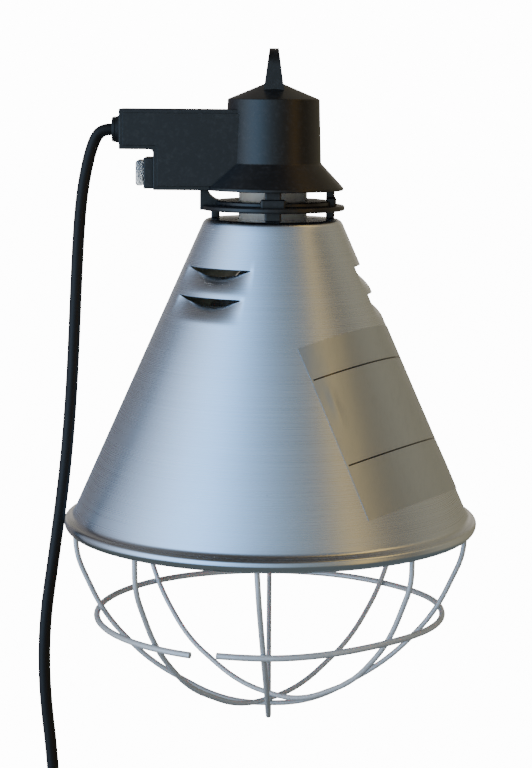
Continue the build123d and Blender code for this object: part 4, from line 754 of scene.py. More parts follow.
def lens_glass(colour):
    """Pressed glass of the bulb's lens, with a gently stippled skin."""

    def paint(tree):
        stipple = tree.add("ShaderNodeTexVoronoi", {"feature": "SMOOTH_F1"},
                           {"Vector": tree.coordinates((330, 330, 330)), "Scale": 1.0, "Smoothness": 0.6},
                           "Distance")
        cloud = tree.noise((40, 40, 40), 3.0)
        tone = tree.blend(tree.clamp(cloud, 0.35, 0.7), rgb(colour, 0.85), rgb(colour, 1.1))
        return {"Base Color": tone, "Roughness": 0.12 + cloud * 0.06,
                "Normal": tree.bump(stipple, 0.35, 0.0006)}

    return new_material("lens_glass", paint, **{"Transmission Weight": 0.55, "IOR": 1.47})


def stem_glass():
    """Clear drawn glass of the bulb's stem."""

    def paint(tree):
        cloud = tree.noise((90, 90, 90), 2.0)
        return {"Base Color": tree.blend(cloud, (0.85, 0.88, 0.88, 1), (0.95, 0.97, 0.97, 1)),
                "Roughness": 0.05 + cloud * 0.05}

    return new_material("stem_glass", paint, **{"Transmission Weight": 0.9, "IOR": 1.5})


# Colours and roughness of the small pieces, by slot; plastic has its grain as well
PLATED = {
    "plated_screw": ((0.6, 0.6, 0.57), 0.28),
    "brass_sheet": ((0.72, 0.55, 0.26), 0.3),
    "cap_metal": ((0.72, 0.69, 0.6), 0.3),
    "solder": ((0.62, 0.62, 0.6), 0.35),
    "tungsten": ((0.25, 0.25, 0.25), 0.4),
    "pin_metal": ((0.72, 0.7, 0.62), 0.22),
}
MOULDED = {
    "cap_glass": ((0.01, 0.01, 0.012), 0.12, 0.02),
    "rocker_plastic": ((0.012, 0.012, 0.013), 0.25, 0.03),
    "inner_plastic": ((0.7, 0.68, 0.6), 0.45),
    "tie_band": ((0.015, 0.015, 0.016), 0.5, 0.3),
}
RUBBER = {
    "seal_rubber": ((0.05, 0.05, 0.052),),
    "brown_insulation": ((0.12, 0.045, 0.018),),
    "blue_insulation": ((0.02, 0.07, 0.3),),
}


def make_materials():
    """One material for every slot of the record."""
    looks = bpy.context.scene.heat_lamp_looks
    materials = {
        "black_plastic": moulded_plastic("black_plastic", looks.plastic, 0.36),
        "aluminium_sheet": spun_aluminium(looks.aluminium),
        "foil": label_foil(looks.foil),
        "zinc_wire": zinc_wire(looks.guard),
        "ceramic": porcelain(),
        "reflector_glass": silvered_glass(),
        "lens_glass": lens_glass(looks.lens),
        "stem_glass": stem_glass(),
        "clear_silicone": clear_silicone(),
        "black_rubber": soft_rubber("black_rubber", looks.cord, 0.5),
    }
    for make, group in ((plated_metal, PLATED), (moulded_plastic, MOULDED), (soft_rubber, RUBBER)):
        materials.update({slot: make(slot, *settings) for slot, settings in group.items()})
    return materials


MATERIALS = {}


def material_for(slot):
    """Material of a slot of the record, made with all the others on first use."""
    if not MATERIALS:
        MATERIALS.update(make_materials())
    return MATERIALS[slot]


# Settings that a user would change


def length_setting(name, description, default, least):
    """A length that a user may change, in metres."""
    return bpy.props.FloatProperty(
        name=name, description=description, default=default, min=least, unit="LENGTH")


def colour_setting(name, description, default):
    """A colour that a user may change."""
    return bpy.props.FloatVectorProperty(
        name=name, description=description, default=default, subtype="COLOR", min=0, max=1)


class HeatLampSizes(bpy.types.PropertyGroup):
    """Sizes of the lamp's details that can change without a new frame."""

    sheet: length_setting("Sheet", "Thickness of the shade's sheet", 0.001, 0.0004)
    guard_wire: length_setting("Guard wire", "Diameter of the guard's wires", 0.0028, 0.001)
    guard_ring: length_setting("Guard ring", "Diameter of the guard ring's wire", 0.0032, 0.001)
    edge: length_setting("Edge", "Rounding of the head's moulded edges", 0.00045, 0.0001)
    floor_drop: length_setting("Floor drop", "Height of the hanging eye over the floor", 0.8, 0.52)


class HeatLampLooks(bpy.types.PropertyGroup):
    """Colours of the lamp's main materials."""

    aluminium: colour_setting("Aluminium", "Colour of the spun shade", (0.74, 0.74, 0.75))
    foil: colour_setting("Foil", "Colour of the blank label", (0.6, 0.61, 0.62))
    plastic: colour_setting("Plastic", "Colour of the moulded head", (0.0055, 0.006, 0.0065))
    guard: colour_setting("Guard", "Colour of the guard's wires", (0.66, 0.69, 0.7))
    lens: colour_setting("Lens", "Colour of the bulb's lens", (0.42, 0.02, 0.012))
    cord: colour_setting("Cord", "Colour of the cord and plug", (0.008, 0.0085, 0.009))


# Operators


class HEATLAMP_OT_stage(bpy.types.Operator):
    """Camera of the photograph, plain pale floor and soft studio light"""

    bl_idname = "heat_lamp.stage"
    bl_label = "Stage"

    def execute(self, context):
        make_camera()
        make_floor(context.scene.heat_lamp_sizes.floor_drop)
        make_world()
        make_lights()
        return {"FINISHED"}


def make_camera():
    """Camera at the photograph's place, turned by its pitch and its slight roll."""
    turned = (math.radians(90 - CAMERA_PITCH), 0, 0)
    bpy.ops.object.camera_add(location=to_row(*CAMERA_PLACE), rotation=turned)
    camera = named("camera")
    camera.rotation_euler.rotate_axis("Z", math.radians(CAMERA_ROLL))
    camera.data.sensor_fit = "VERTICAL"
    camera.data.sensor_height = SENSOR_HEIGHT
    camera.data.lens = FOCAL_PIXELS / IMAGE_HEIGHT * SENSOR_HEIGHT
    camera.data.clip_start = 0.05
    camera.data.clip_end = 60
    bpy.context.scene.camera = camera


def make_floor(drop):
    """Pale floor that stays out of reflections and of the light that surfaces pass on."""
    floor = primitive("floor", bpy.ops.mesh.primitive_plane_add, size=FLOOR_SIZE, location=(0, 0, -drop))
    settle(floor)
    material = bpy.data.materials.new("pale_floor")
    material.use_nodes = True
    tree = Tree(material.node_tree)
    diffuse = tree.add("ShaderNodeBsdfDiffuse", None, {"Color": (0.86, 0.86, 0.86, 1)})
    glow = tree.add("ShaderNodeEmission", None, {"Color": (1, 1, 1, 1), "Strength": FLOOR_GLOW})
    both = tree.add("ShaderNodeAddShader", None, [diffuse, glow])
    tree.add("ShaderNodeOutputMaterial", None, {"Surface": both})
    floor.data.materials.append(material)
    floor.visible_glossy = False
    floor.visible_diffuse = False


def make_world():
    """Room by direction: a bluish window front left, a warm strip front right that leans out, dark above."""
    world = bpy.data.worlds.new("studio")
    bpy.context.scene.world = world
    world.use_nodes = True
    tree = Tree(world.node_tree)
    direction = tree.add("ShaderNodeTexCoord", output="Generated")
    x = tree.add("ShaderNodeSeparateXYZ", None, [direction])
    y, z = (Signal(tree, x.socket.node.outputs[index]) for index in (1, 2))
    azimuth = tree.add("ShaderNodeMath", {"operation": "ARCTAN2"}, [x, 0 - y])
    turn = azimuth / (2 * math.pi) + 0.5
    turn = turn - tree.clamp(z, *STRIP_HEIGHTS, 0.0, STRIP_LEAN) * tree.clamp(turn, *STRIP_SIDE)
    room = tree.ramp(turn, ROOM_BAND)
    upper = tree.ramp(turn, ROOM_ABOVE)
    room = tree.blend(tree.clamp(z, *ROOM_TOP_EDGE), room, upper)
    room = tree.blend(tree.clamp(z, *ROOM_ZENITH_EDGE), room, ROOM_ZENITH)
    room = tree.blend(tree.clamp(z, *ROOM_LOW_EDGE), room, ROOM_BELOW)
    card = tree.clamp(y, *CARD_DEPTH) * tree.clamp(z, *CARD_FOOT) * tree.clamp(z, *CARD_TOP)
    room = tree.blend(card, room, CARD_COLOUR)
    seen = tree.add("ShaderNodeLightPath", output="Is Camera Ray")
    matt = Signal(tree, seen.socket.node.outputs["Is Diffuse Ray"])
    room = tree.blend(matt, room, tree.add("ShaderNodeRGBToBW", None, [room]))
    surround = tree.add("ShaderNodeBackground", None, [room, ROOM_STRENGTH])
    backdrop = tree.add("ShaderNodeBackground", None, [(1, 1, 1, 1), BACKDROP_GLOW])
    both = tree.add("ShaderNodeMixShader", None, [seen, surround, backdrop])
    tree.add("ShaderNodeOutputWorld", None, {"Surface": both})


def make_lights():
    """Soft lamps that light matt surfaces and stay out of all reflections."""
    for name, azimuth, height, distance, size, power, colour in LIGHTS:
        turn = math.radians(azimuth)
        place = Vector((distance * math.sin(turn), -distance * math.cos(turn), height + LIGHTS_AIM))
        toward = Vector((0, 0, LIGHTS_AIM)) - place
        turned = toward.to_track_quat("-Z", "Y").to_euler()
        bpy.ops.object.light_add(type="AREA", location=place, rotation=turned)
        light = named(name)
        light.data.shape = "RECTANGLE"
        light.data.size, light.data.size_y = size
        light.data.energy = power
        light.data.color = colour
        light.visible_glossy = False


class HEATLAMP_OT_cord(bpy.types.Operator):
    """Cord from the gland past the rim into its tied coil, as one smooth curve"""

    bl_idname = "heat_lamp.cord"
    bl_label = "Cord"

    def execute(self, context):
        points = [to_row(*point) for point in CORD_ROUTE] + coil_points()
        cord = strand("cord", "NURBS", points, CORD_DIAMETER / 2, 5)
        spline = cord.data.splines[0]
        spline.order_u = 3
        spline.use_endpoint_u = True
        spline.resolution_u = 4
        finish_piece(cord, "lamp", "black_rubber", "cord_hanging", "cord_coil")
        return {"FINISHED"}


def coil_points():
    """Control points of the coil's half turns, which spiral in and out and climb at each turn back."""
    points = []
    x, y, z = CORD_ROUTE[-1]
    spread = 180 / COIL_STEPS
    swell = 8 / (6 + 2 * math.cos(math.radians(spread)))
    radius = COIL_RADIUS
    step = -COIL_PITCH / 2
    downward = True
    for layer in range(COIL_LAYERS):
        for turn in range(2 * COIL_LOOPS + 1):
            climbs = turn == 2 * COIL_LOOPS and layer < COIL_LAYERS - 1
            side = 1 if downward else -1
            for index in range(COIL_STEPS):
                share = (index + 0.5) / COIL_STEPS
                angle = math.pi * share
                reach = radius * swell
                points.append(to_row(
                    x + side * (radius - reach * math.cos(angle)),
                    y + (COIL_PITCH * share if climbs else 0),
                    z - side * reach * math.sin(angle),
                ))
            x += side * 2 * radius
            if climbs:
                y += COIL_PITCH
                step = -step
            radius += step if not climbs else -step
            downward = not downward
        if layer < COIL_LAYERS - 1:
            radius += 2 * step
    points.append(to_row(x, y, z))
    points.append(to_row(x, y, z - CORD_DIAMETER))
    return points


class HEATLAMP_OT_shade(bpy.types.Operator):
    """Spun cone with its flat top, rolled rim and pressed louvres"""

    bl_idname = "heat_lamp.shade"
    bl_label = "Shade"

    def execute(self, context):
        shade = lathe("shade_sheet", shade_profile(), 288)
        press_louvres(shade)
        shade.data.materials.append(material_for("aluminium_sheet"))
        # The inner side gets a darker olive material: painted shade and warm reflection inside the cone.
        shade.data.materials.append(inner_aluminium_painted_shade())
        modify(shade, "SOLIDIFY", thickness=context.scene.heat_lamp_sizes.sheet, offset=-1.0,
               use_even_offset=False, material_offset=1)
        for azimuth in POST_AZIMUTHS:
            spot = around(azimuth, VENT_HOLE_PLACE, 0) * 1000
            low, high = ((spot.x, spot.y, SHADE_TOP + reach) for reach in (-3, 1))
            combine(shade, rod("vent_hole", low, high, VENT_HOLE_RADIUS, 24), "DIFFERENCE")
        smooth(shade, 32)
        dress(shade, "lamp", "aluminium_sheet", "shade")
        return {"FINISHED"}


def flare_circle():
    """Centre and radius of the hollow flare that leads from the cone to the top of the rolled rim."""
    turn = math.radians(FLARE_ANGLE)
    across = RIM_RADIUS - ROLL_RADIUS * (1 - math.cos(turn))
    height = ROLL_RADIUS * math.sin(turn)
    gap = (across - cone_radius(height)) * math.cos(math.radians(CONE_HALF_ANGLE))
    radius = gap / (1 - math.cos(math.radians(FLARE_ANGLE - CONE_HALF_ANGLE)))
    return (across + radius * math.cos(turn), height + radius * math.sin(turn)), radius


def shade_profile():
    """Outer profile of the sheet from the hole in the flat top to the end of the rolled lip."""
    top = cone_radius(SHADE_TOP)
    half_turn = math.radians(90 - CONE_HALF_ANGLE) / 2
    shoulder = top - SHOULDER_FILLET * math.tan(half_turn)
    profile = [(radius, SHADE_TOP) for radius in (MOUTH_RADIUS, *FLAT_RINGS)]
    centre = (shoulder, SHADE_TOP - SHOULDER_FILLET)
    profile += circle_points(centre, SHOULDER_FILLET, 90, CONE_HALF_ANGLE, 8)
    heights = list(UPPER_ROWS)
    heights += [LOUVRE_EDGES[0] - LOUVRE_ROW * index for index in range(LOUVRE_ROW_COUNT)]
    heights += [LOWER_ROWS_TOP - LOWER_ROW * index for index in range(LOWER_ROW_COUNT)]
    profile += [(cone_radius(height), height) for height in heights]
    flare, flare_radius = flare_circle()
    profile += circle_points(flare, flare_radius, CONE_HALF_ANGLE + 180, FLARE_ANGLE + 180, 7)
    profile += circle_points((RIM_RADIUS - ROLL_RADIUS, 0), ROLL_RADIUS, FLARE_ANGLE, 0, 7)[1:]
    profile += circle_points((RIM_RADIUS - LIP_RADIUS, 0), LIP_RADIUS, 0, -LIP_WRAP, 7)[1:]
    return profile


def press_louvres(shade):
    """Parts the sheet along each slit and presses the metal below it inwards and down."""
    half = LOUVRE_CHORD / 2
    slits = [(azimuth, edge) for azimuth in LOUVRE_AZIMUTHS for edge in LOUVRE_EDGES]
    mesh = shade.data
    places = [louvre_coordinates(vertex.co) for vertex in mesh.vertices]
    bpy.context.view_layer.objects.active = shade
    bpy.ops.object.mode_set(mode="EDIT")
    bpy.ops.mesh.select_mode(type="EDGE")
    bpy.ops.mesh.select_all(action="DESELECT")
    bpy.ops.object.mode_set(mode="OBJECT")
    for edge in mesh.edges:
        edge.select = any(
            all(abs(places[index][0] - height) < 0.01 and abs(across(places[index], azimuth, height)) < half
                for index in edge.vertices)
            for azimuth, height in slits
        )
    bpy.ops.object.mode_set(mode="EDIT")
    bpy.ops.mesh.edge_split(type="EDGE")
    bpy.ops.mesh.select_mode(type="VERT")
    bpy.ops.object.mode_set(mode="OBJECT")
    places = [louvre_coordinates(vertex.co) for vertex in mesh.vertices]
    moves = {}
    for polygon in mesh.polygons:
        middle = louvre_coordinates(polygon.center)
        for azimuth, height in slits:
            if height - LOUVRE_REACH < middle[0] < height and abs(across(middle, azimuth, height)) < half:
                for index in polygon.vertices:
                    moves[index] = (azimuth, height)
    lean = math.radians(CONE_HALF_ANGLE)
    for index, (azimuth, height) in moves.items():
        place = places[index]
        bow = max(0.0, 1 - (across(place, azimuth, height) / half) ** 2) ** LOUVRE_BOW
        fade = max(0.0, 1 - (height - place[0]) / LOUVRE_REACH) ** LOUVRE_FADE
        turn = math.radians(place[1])
        flat = math.cos(lean)
        inward = Vector((-math.sin(turn) * flat, math.cos(turn) * flat, -math.sin(lean)))
        move = inward * LOUVRE_PUSH + Vector((0, 0, -LOUVRE_DROP))
        mesh.vertices[index].co += move * bow * fade / 1000


def louvre_coordinates(point):
    """(height above the rim, azimuth) of a point, in millimetres and degrees."""
    return rim_height(point), math.degrees(math.atan2(point.x, -point.y))


def across(place, azimuth, height):
    """Distance in millimetres from a slit's middle along its chord, endless on the far side of the cone."""
    offset = math.radians((place[1] - azimuth + 180) % 360 - 180)
    if abs(offset) > math.pi / 2:
        return math.inf
    return cone_radius(height) * math.sin(offset)


class HEATLAMP_OT_label(bpy.types.Operator):
    """Blank foil label laid round the cone, with two plain rules and slight waves"""

    bl_idname = "heat_lamp.label"
    bl_label = "Label"

    def execute(self, context):
        side = LABEL_WIDTH / 2
        bottom = LABEL_TOP + LABEL_HEIGHT
        label = wrapped_sheet("label_foil", (-side, side), (LABEL_TOP, bottom), LABEL_LIFT, (64, 64))
        modify(label, "SOLIDIFY", thickness=LABEL_THICKNESS, offset=-1.0)
        smooth(label, 40)
        finish_piece(label, "lamp", "foil", "rating_label")
        rules = []
        for name, down in LABEL_RULES:
            edges = (down - RULE_HALF, down + RULE_HALF)
            rules.append(wrapped_sheet(name, (-RULE_SIDE, RULE_SIDE), edges, RULE_LIFT, (64, 2)))
        rule = join("label_rules", rules)
        modify(rule, "SOLIDIFY", thickness=RULE_THICKNESS, offset=-1.0)
        finish_piece(rule, "lamp", "cap_glass")
        return {"FINISHED"}


def label_place(side, down, lift):
    """Point over the cone for a place on the flat label, across from its middle and down from the apex."""
    slant = math.hypot(side, down)
    lean = math.radians(CONE_HALF_ANGLE)
    turn = math.degrees(math.atan2(side, down)) / math.sin(lean)
    radius = slant * math.sin(lean) + lift * math.cos(lean)
    height = CONE_APEX - slant * math.cos(lean) + lift * math.sin(lean)
    return around(LABEL_AZIMUTH + turn, radius, height)


def wrapped_sheet(name, sides, ends, lift, counts):
    """Thin sheet laid round the cone from a flat rectangle, with waves in it."""
    left, right = sides
    top, bottom = ends
    columns, rows = counts
    sheet = primitive(name, bpy.ops.mesh.primitive_grid_add, size=2, x_subdivisions=columns,
                      y_subdivisions=rows)
    for vertex in sheet.data.vertices:
        side = left + (right - left) * (vertex.co.x + 1) / 2
        down = bottom + (top - bottom) * (vertex.co.y + 1) / 2
        vertex.co = label_place(side, down, lift + label_wave(side, down))
    return sheet


def label_wave(side, down):
    """Height of the label's slight waves: a blister by its left edge and folds at its lower right."""
    spot = (side, down)
    off = [(here - middle) / spread for here, middle, spread in zip(spot, BLISTER_PLACE, BLISTER_SPREAD)]
    blister = BLISTER_HEIGHT * math.exp(-off[0] ** 2 - off[1] ** 2)
    past = [max(0.0, here - start) / reach for here, start, reach in zip(spot, FOLDS_FROM, FOLDS_REACH)]
    folds = FOLDS_HEIGHT * past[0] * past[1] * (1 + math.sin(side * 0.55 + down * 0.12))
    return blister + folds


class HEATLAMP_OT_head(bpy.types.Operator):
    """Moulded head: drum with skirt and roof, switch box with raised panel, and the hanging eye"""

    bl_idname = "heat_lamp.head"
    bl_label = "Head"

    def execute(self, context):
        edge = context.scene.heat_lamp_sizes.edge * 1000
        drum = lathe("head", HEAD_OUTLINE, 128)
        round_edges(drum, edge, 3, 12)
        case = box_plate("case", 0.0, CASE_BACK, CASE_FRONT, CASE_END)
        round_edges(case, 0.5, 3)
        panel = box_plate("panel", PANEL_INSET, PANEL_ROOT, -BOX_FACE, CASE_END)
        round_edges(panel, 0.25, 2)
        combine(case, panel)
        combine(drum, case)
        combine(drum, hanging_eye())
        smooth_flats(drum, 30)
        finish_piece(drum, "lamp", "black_plastic", "hood")
        return {"FINISHED"}


def box_plate(name, inset, start, end, right):
    """Plate in the side outline of the switch box, drawn in from its free edges, between two depths."""
    centre = (-BOX_NOTCH + inset - BOX_CORNER, ARM_BOTTOM + inset - BOX_CORNER)
    left, top, bottom = -BOX_END + inset, BOX_TOP - inset, SKIRT_BOTTOM + inset
    outline = [
        (right, top), (left, top), (left, ARM_BOTTOM + inset), *circle_points(centre, BOX_CORNER, 90, 0, 4),
        (-BOX_NOTCH + inset, bottom), (right, bottom),
    ]
    return slab(name, [to_row(x, start, z) for x, z in outline], Vector((0, (end - start) / 1000, 0)))


def hanging_eye():
    """Tapered fin with a round top, sunk lands and the hole for the hook."""
    arch = circle_points((0, EYE_TOP - EYE_HALF), EYE_HALF, 180, 0, 24)
    outline = [(-EYE_HALF, EYE_FOOT), *arch, (EYE_HALF, EYE_FOOT)]
    left = [to_row(-FIN_FOOT_HALF, depth, height) for depth, height in outline]
    fin = slab("eye", left, Vector((FIN_FOOT_HALF * 2 / 1000, 0, 0)))
    for vertex in fin.data.vertices:
        share = (rim_height(vertex.co) - EYE_FOOT) / (EYE_TOP - EYE_FOOT)
        vertex.co.x *= 1 - share * (1 - FIN_TOP_HALF / FIN_FOOT_HALF)
    for side in (-1, 1):
        ends = [(side * reach, 0, EYE_CENTRE) for reach in (LAND_HALF, LAND_REACH)]
        land = rod("land", *ends, LAND_RADIUS, 64)
        combine(fin, land, "DIFFERENCE")
    hole = rod("hole", (-LAND_REACH, 0, EYE_CENTRE), (LAND_REACH, 0, EYE_CENTRE), EYE_HOLE, 64)
    combine(fin, hole, "DIFFERENCE")
    round_edges(fin, 0.35, 2, 40)
    return fin


class HEATLAMP_OT_back_cover(bpy.types.Operator):
    """Screwed cover on the back of the switch box"""

    bl_idname = "heat_lamp.back_cover"
    bl_label = "Back Cover"

    def execute(self, context):
        plate = box_plate("back_cover", 0.0, CASE_BACK, COVER_BACK, COVER_EDGE)
        round_edges(plate, 0.4, 2)
        raised = box_plate("raised", PANEL_INSET, COVER_ROOT, BOX_FACE, COVER_EDGE - PANEL_INSET)
        round_edges(raised, 0.25, 2)
        combine(plate, raised)
        smooth_flats(plate, 30)
        finish_piece(plate, "lamp", "black_plastic", "box_rear_cover")
        return {"FINISHED"}


class HEATLAMP_OT_vent_spacer(bpy.types.Operator):
    """Ring plate on posts between the head and the shade, with its collars and bracket"""

    bl_idname = "heat_lamp.vent_spacer"
    bl_label = "Vent Spacer"

    def execute(self, context):
        spacer = lathe("spacer", SPACER_OUTLINE, 128, closed=True)
        round_edges(spacer, 0.9, 4, 40)
        low, high = POST_CORNERS
        for azimuth, top in zip(POST_AZIMUTHS, POST_TOPS):
            join_block(spacer, azimuth, low, (*high, top), 0.9, 3)
            if top > HUB_TOP:
                join_block(spacer, azimuth, *COLLAR_CORNERS, 1.1, 4)
        combine(spacer, bracket())
        bore = rod("bore", (0, 0, SHADE_TOP - 1), (0, 0, SKIRT_BOTTOM + 3), MOUTH_RADIUS, 96)
        combine(spacer, bore, "DIFFERENCE")
        smooth_flats(spacer, 35)
        finish_piece(spacer, "lamp", "black_plastic", "vent_spacer")
        return {"FINISHED"}


def join_block(piece, azimuth, low, high, rounding, segments):
    """Joins a rounded block, given by its corners at the front, to a piece at an azimuth."""
    part = block("part", low, high)
    round_edges(part, rounding, segments)
    part.rotation_euler.z = math.radians(azimuth)
    settle(part)
    combine(piece, part)


def bracket():
    """Foot under the switch box, with a hollow curve towards the hub."""
    curve_end = BRACKET_END - BRACKET_TAB
    foot = -curve_end + BRACKET_HALF
    curve = circle_points((foot, SKIRT_BOTTOM + 2.0), BRACKET_CURVE, 196, 270, 8)
    outline = [(-BRACKET_END, PLATE_BOTTOM), (-BRACKET_END, SKIRT_BOTTOM), (-curve_end, SKIRT_BOTTOM)]
    outline += [(x, max(height, HUB_TOP)) for x, height in curve] + [(foot, PLATE_BOTTOM)]
    sides = [to_row(x, -BRACKET_HALF, z) for x, z in outline]
    piece = slab("bracket", sides, Vector((0, BRACKET_HALF * 2 / 1000, 0)))
    round_edges(piece, 0.35, 2)
    return piece


class HEATLAMP_OT_lampholder(bpy.types.Operator):
    """Glazed barrel and flange of the lampholder"""

    bl_idname = "heat_lamp.lampholder"
    bl_label = "Lampholder"

    def execute(self, context):
        holder = lathe("lampholder", HOLDER_OUTLINE, 128, closed=True)
        round_edges(holder, 0.9, 4, 40)
        smooth(holder, 35)
        finish_piece(holder, "lamp", "ceramic", "lampholder_body")
        return {"FINISHED"}


class HEATLAMP_OT_guard(bpy.types.Operator):
    """Welded wire guard: four bent wires and an open ring"""

    bl_idname = "heat_lamp.guard"
    bl_label = "Guard"

    def execute(self, context):
        sizes = context.scene.heat_lamp_sizes
        radius = sizes.guard_wire * 500
        for level, (node, front, back, flat) in enumerate(GUARD_WIRES):
            depth = GUARD_LOWEST + level * (sizes.guard_wire * 1000 + WELD_GAP)
            corners = guard_leg(front, flat, depth)[::-1] + guard_leg(back, flat, depth)
            piece = wire(node + "_bar", bent_path(corners, GUARD_SHARE), radius)
            smooth(piece, 50)
            finish_piece(piece, "guard", "zinc_wire", node)
        make_guard_ring(sizes.guard_ring * 500)
        return {"FINISHED"}


def guard_leg(azimuth, flat, depth):
    """Corners of one leg, from the middle of the bottom up into the rim."""
    raised = GUARD_RAISES.get(azimuth, 0.0)
    corners = [(flat, depth)] + [(GUARD_ENTRY - inset, height + raised) for inset, height in GUARD_BENDS]
    corners.append((GUARD_ENTRY, GUARD_TOP))
    return [around(leg_azimuth(azimuth, height), radius, height) for radius, height in corners]


def leg_azimuth(azimuth, height):
    """Azimuth of a leg at a height: the front leg leans in to the middle, and the others stand straight."""
    return azimuth * (1 - height / GUARD_LOWEST) if azimuth == GUARD_FRONT else azimuth


def make_guard_ring(radius):
    """Open ring round the wires, lifted with the raised legs, with two cut ends."""
    start = (RING_GAP[1], GUARD_RAISES[GUARD_FRONT])
    raised = [(leg_azimuth(leg, RING_HEIGHT), rise) for leg, rise in GUARD_RAISES.items()]
    level = [(turn, 0.0) for turn in (135.0, 180.0, 225.0, 270.0, 360 + GUARD_FRONT_LEFT, 360 + RING_GAP[0])]
    rises = [start, *raised, *level]
    path = []
    for (turn, rise), (next_turn, next_rise) in zip(rises, rises[1:]):
        steps = max(2, round((next_turn - turn) / 2))
        for step in range(steps):
            share = step / steps
            eased = share * share * (3 - 2 * share)
            path.append(around(turn + (next_turn - turn) * share, RING_RADIUS,
                               RING_HEIGHT + rise + (next_rise - rise) * eased))
    path.append(around(rises[-1][0], RING_RADIUS, RING_HEIGHT))
    ring = wire("guard_ring_bar", path, radius, 5)
    smooth(ring, 50)
    finish_piece(ring, "guard", "zinc_wire", "guard_ring")


class HEATLAMP_OT_switch(bpy.types.Operator):
    """Bezel of the rocker switch and the clear cap over it"""

    bl_idname = "heat_lamp.switch"
    bl_label = "Switch"

    def execute(self, context):
        bezel = switch_block("switch_bezel", SWITCH_FACE, -BOX_NOTCH + 0.2, BEZEL_HALVES)
        round_edges(bezel, 0.7, 3)
        well = switch_block("well", SWITCH_FACE - 1, SWITCH_FACE + WELL_DEPTH, WELL_HALVES)
        combine(bezel, well, "DIFFERENCE")
        smooth_flats(bezel, 30)
        finish_piece(bezel, "lamp", "black_plastic", "switch_body")
        outside = SWITCH_FACE - CAP_DEPTH
        cap = switch_block("splash_cap", outside, SWITCH_FACE + CAP_SEAT, CAP_HALVES)
        round_edges(cap, 1.5, 5)
        inner_halves = [half - CAP_WALL for half in CAP_HALVES]
        hollow = switch_block("hollow", outside + CAP_ROOF, SWITCH_FACE + 1, inner_halves)
        round_edges(hollow, 0.7, 3)
        combine(cap, hollow, "DIFFERENCE")
        smooth(cap, 35)
        finish_piece(cap, "lamp", "clear_silicone", "switch_splash_cap")
        return {"FINISHED"}


def switch_block(name, left, right, halves):
    """Block centred on the switch, between two places across the lamp."""
    depth, height = halves
    return block(name, (left, -depth, SWITCH_HEIGHT - height), (right, depth, SWITCH_HEIGHT + height))


class HEATLAMP_OT_gland(bpy.types.Operator):
    """Stepped rubber gland that the cord leaves by"""

    bl_idname = "heat_lamp.gland"
    bl_label = "Gland"

    def execute(self, context):
        bore = CORD_DIAMETER / 2 + GLAND_CLEARANCE
        profile = [(bore, 0), *GLAND_OUTLINE, (bore, GLAND_OUTLINE[-1][1])]
        gland = lathe("gland", profile, 64, closed=True)
        round_edges(gland, 0.25, 2, 30)
        shift = to_row(-BOX_END, 0, GLAND_HEIGHT)
        turned = Matrix.Translation(shift) @ Matrix.Rotation(-math.pi / 2, 4, "Y")
        gland.data.transform(turned @ Matrix.Translation((0, 0, -RIM_Z)))
        smooth(gland, 35)
        finish_piece(gland, "lamp", "black_rubber", "cord_gland")
        return {"FINISHED"}


class HEATLAMP_OT_bulb(bpy.types.Operator):
    """Reflector bulb with its silvered bowl and stippled lens"""

    bl_idname = "heat_lamp.bulb"
    bl_label = "Bulb"

    def execute(self, context):
        low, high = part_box("bulb_reflector")
        edge = rim_height(low)
        bowl = lathe("bulb_bowl", bowl_profile(edge, rim_height(high)), 160)
        smooth(bowl, 32)
        finish_piece(bowl, "bulb", "reflector_glass", "bulb_reflector")
        low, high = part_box("bulb_lens")
        lens = lathe("bulb_glass", lens_profile(edge, rim_height(low)), 160, closed=True)
        smooth(lens, 32)
        finish_piece(lens, "bulb", "lens_glass", "bulb_lens")
        return {"FINISHED"}


def bowl_profile(edge, neck):
    """Outline of the silvered bowl from the top of its neck, down outside and back up inside."""
    rim = edge + BOWL_EDGE
    collar = neck - NECK_HEIGHT
    waist = (BOWL_WAIST, rim + BOWL_WAIST_SHARE * (collar - rim))
    belly = arc_through((BULB_RADIUS, rim), waist, (NECK_RADIUS, collar), 24)
    inner_rim = BULB_RADIUS - BULB_WALL
    profile = [(0, neck), (NECK_TOP_RADIUS, neck), (NECK_RADIUS, collar + 0.5), *belly[::-1]]
    profile += [(BULB_RADIUS, edge), (inner_rim, edge), (inner_rim, rim)]
    profile += [(radius - (BULB_WALL if radius > 20 else NECK_WALL), height) for radius, height in belly[1:]]
    return profile + [(NECK_TOP_RADIUS - BULB_WALL, neck - BULB_WALL), (0, neck - BULB_WALL)]


def lens_profile(edge, face):
    """Outline of the lens: a dome with its wall, seated just under the bowl's edge."""
    across_share, height_share = LENS_MIDDLE
    middle = (BULB_RADIUS * across_share, face + LENS_DEPTH * height_share)
    dome = arc_through((BULB_RADIUS, face + LENS_DEPTH), middle, (0.0, face), 20)
    inside = [(radius * LENS_INSIDE, height + LENS_WALL) for radius, height in dome[-2::-1]]
    seat = edge - 0.05
    return [(BULB_RADIUS, seat), *dome, (0.0, face + BULB_WALL), *inside, (BULB_RADIUS - BULB_WALL, seat)]


def arc_through(first, middle, last, steps):
    """Points on the circle through three points (across, height), from the first to the last."""
    corners = [Vector(corner) for corner in (first, middle, last)]
    a, b, c = corners
    turn = 2 * (a.x * (b.y - c.y) + b.x * (c.y - a.y) + c.x * (a.y - b.y))
    square_a, square_b, square_c = (corner.length_squared for corner in corners)
    centre = Vector((
        square_a * (b.y - c.y) + square_b * (c.y - a.y) + square_c * (a.y - b.y),
        square_a * (c.x - b.x) + square_b * (a.x - c.x) + square_c * (b.x - a.x),
    )) / turn
    start, end = (math.atan2(corner.y - centre.y, corner.x - centre.x) for corner in (a, c))
    swing = (end - start + math.pi) % (2 * math.pi) - math.pi
    degrees = [math.degrees(angle) for angle in (start, start + swing)]
    return circle_points(centre, (a - centre).length, *degrees, steps)


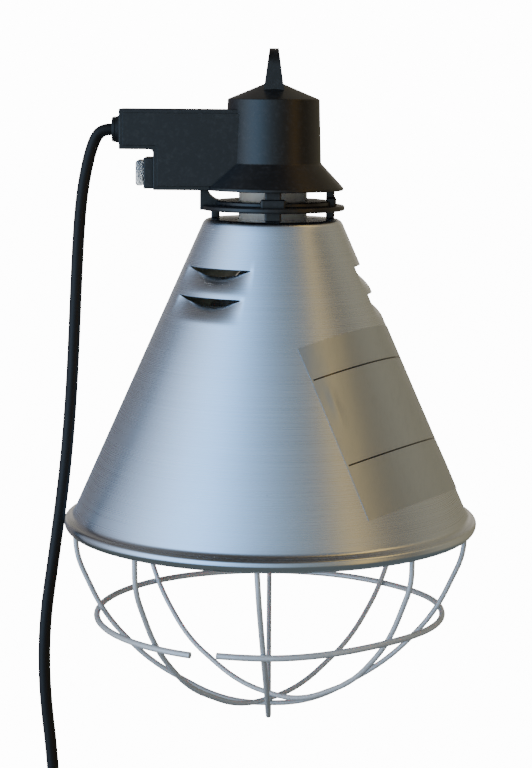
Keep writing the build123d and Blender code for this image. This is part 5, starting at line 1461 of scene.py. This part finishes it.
class HEATLAMP_OT_materials(bpy.types.Operator):
    """Materials of the carried-over pieces, by the record's slots"""

    bl_idname = "heat_lamp.materials"
    bl_label = "Materials"

    def execute(self, context):
        for part in frame["record"]["subparts"]:
            node = frame["nodes"][part["node"]]
            node.data.materials.clear()
            node.data.materials.append(material_for(part["material_slot"]))
        return {"FINISHED"}


class HEATLAMP_PT_panel(bpy.types.Panel):
    """Sidebar panel that lists the lamp's steps and settings"""

    bl_idname = "HEATLAMP_PT_panel"
    bl_label = "Heat Lamp"
    bl_space_type = "VIEW_3D"
    bl_region_type = "UI"
    bl_category = "Heat Lamp"

    def draw(self, context):
        for group in (context.scene.heat_lamp_sizes, context.scene.heat_lamp_looks):
            for key in group.bl_rna.properties.keys():
                if key not in ("rna_type", "name"):
                    self.layout.prop(group, key)
        for operator in OPERATORS:
            self.layout.operator(operator.bl_idname)


OPERATORS = (
    HEATLAMP_OT_stage, HEATLAMP_OT_cord, HEATLAMP_OT_materials, HEATLAMP_OT_shade, HEATLAMP_OT_label,
    HEATLAMP_OT_head, HEATLAMP_OT_back_cover, HEATLAMP_OT_vent_spacer, HEATLAMP_OT_lampholder,
    HEATLAMP_OT_guard, HEATLAMP_OT_switch, HEATLAMP_OT_gland, HEATLAMP_OT_bulb,
)
CLASSES = (HeatLampSizes, HeatLampLooks, *OPERATORS, HEATLAMP_PT_panel)


def register():
    for item in CLASSES:
        bpy.utils.register_class(item)
    bpy.types.Scene.heat_lamp_sizes = bpy.props.PointerProperty(type=HeatLampSizes)
    bpy.types.Scene.heat_lamp_looks = bpy.props.PointerProperty(type=HeatLampLooks)


def unregister():
    del bpy.types.Scene.heat_lamp_looks
    del bpy.types.Scene.heat_lamp_sizes
    for item in reversed(CLASSES):
        bpy.utils.unregister_class(item)


def run_operators():
    """Calls every operator in order through bpy.ops."""
    for operator in OPERATORS:
        group, name = operator.bl_idname.split(".")
        getattr(getattr(bpy.ops, group), name)()


def main():
    register()
    run_operators()


if __name__ == "__main__":
    main()
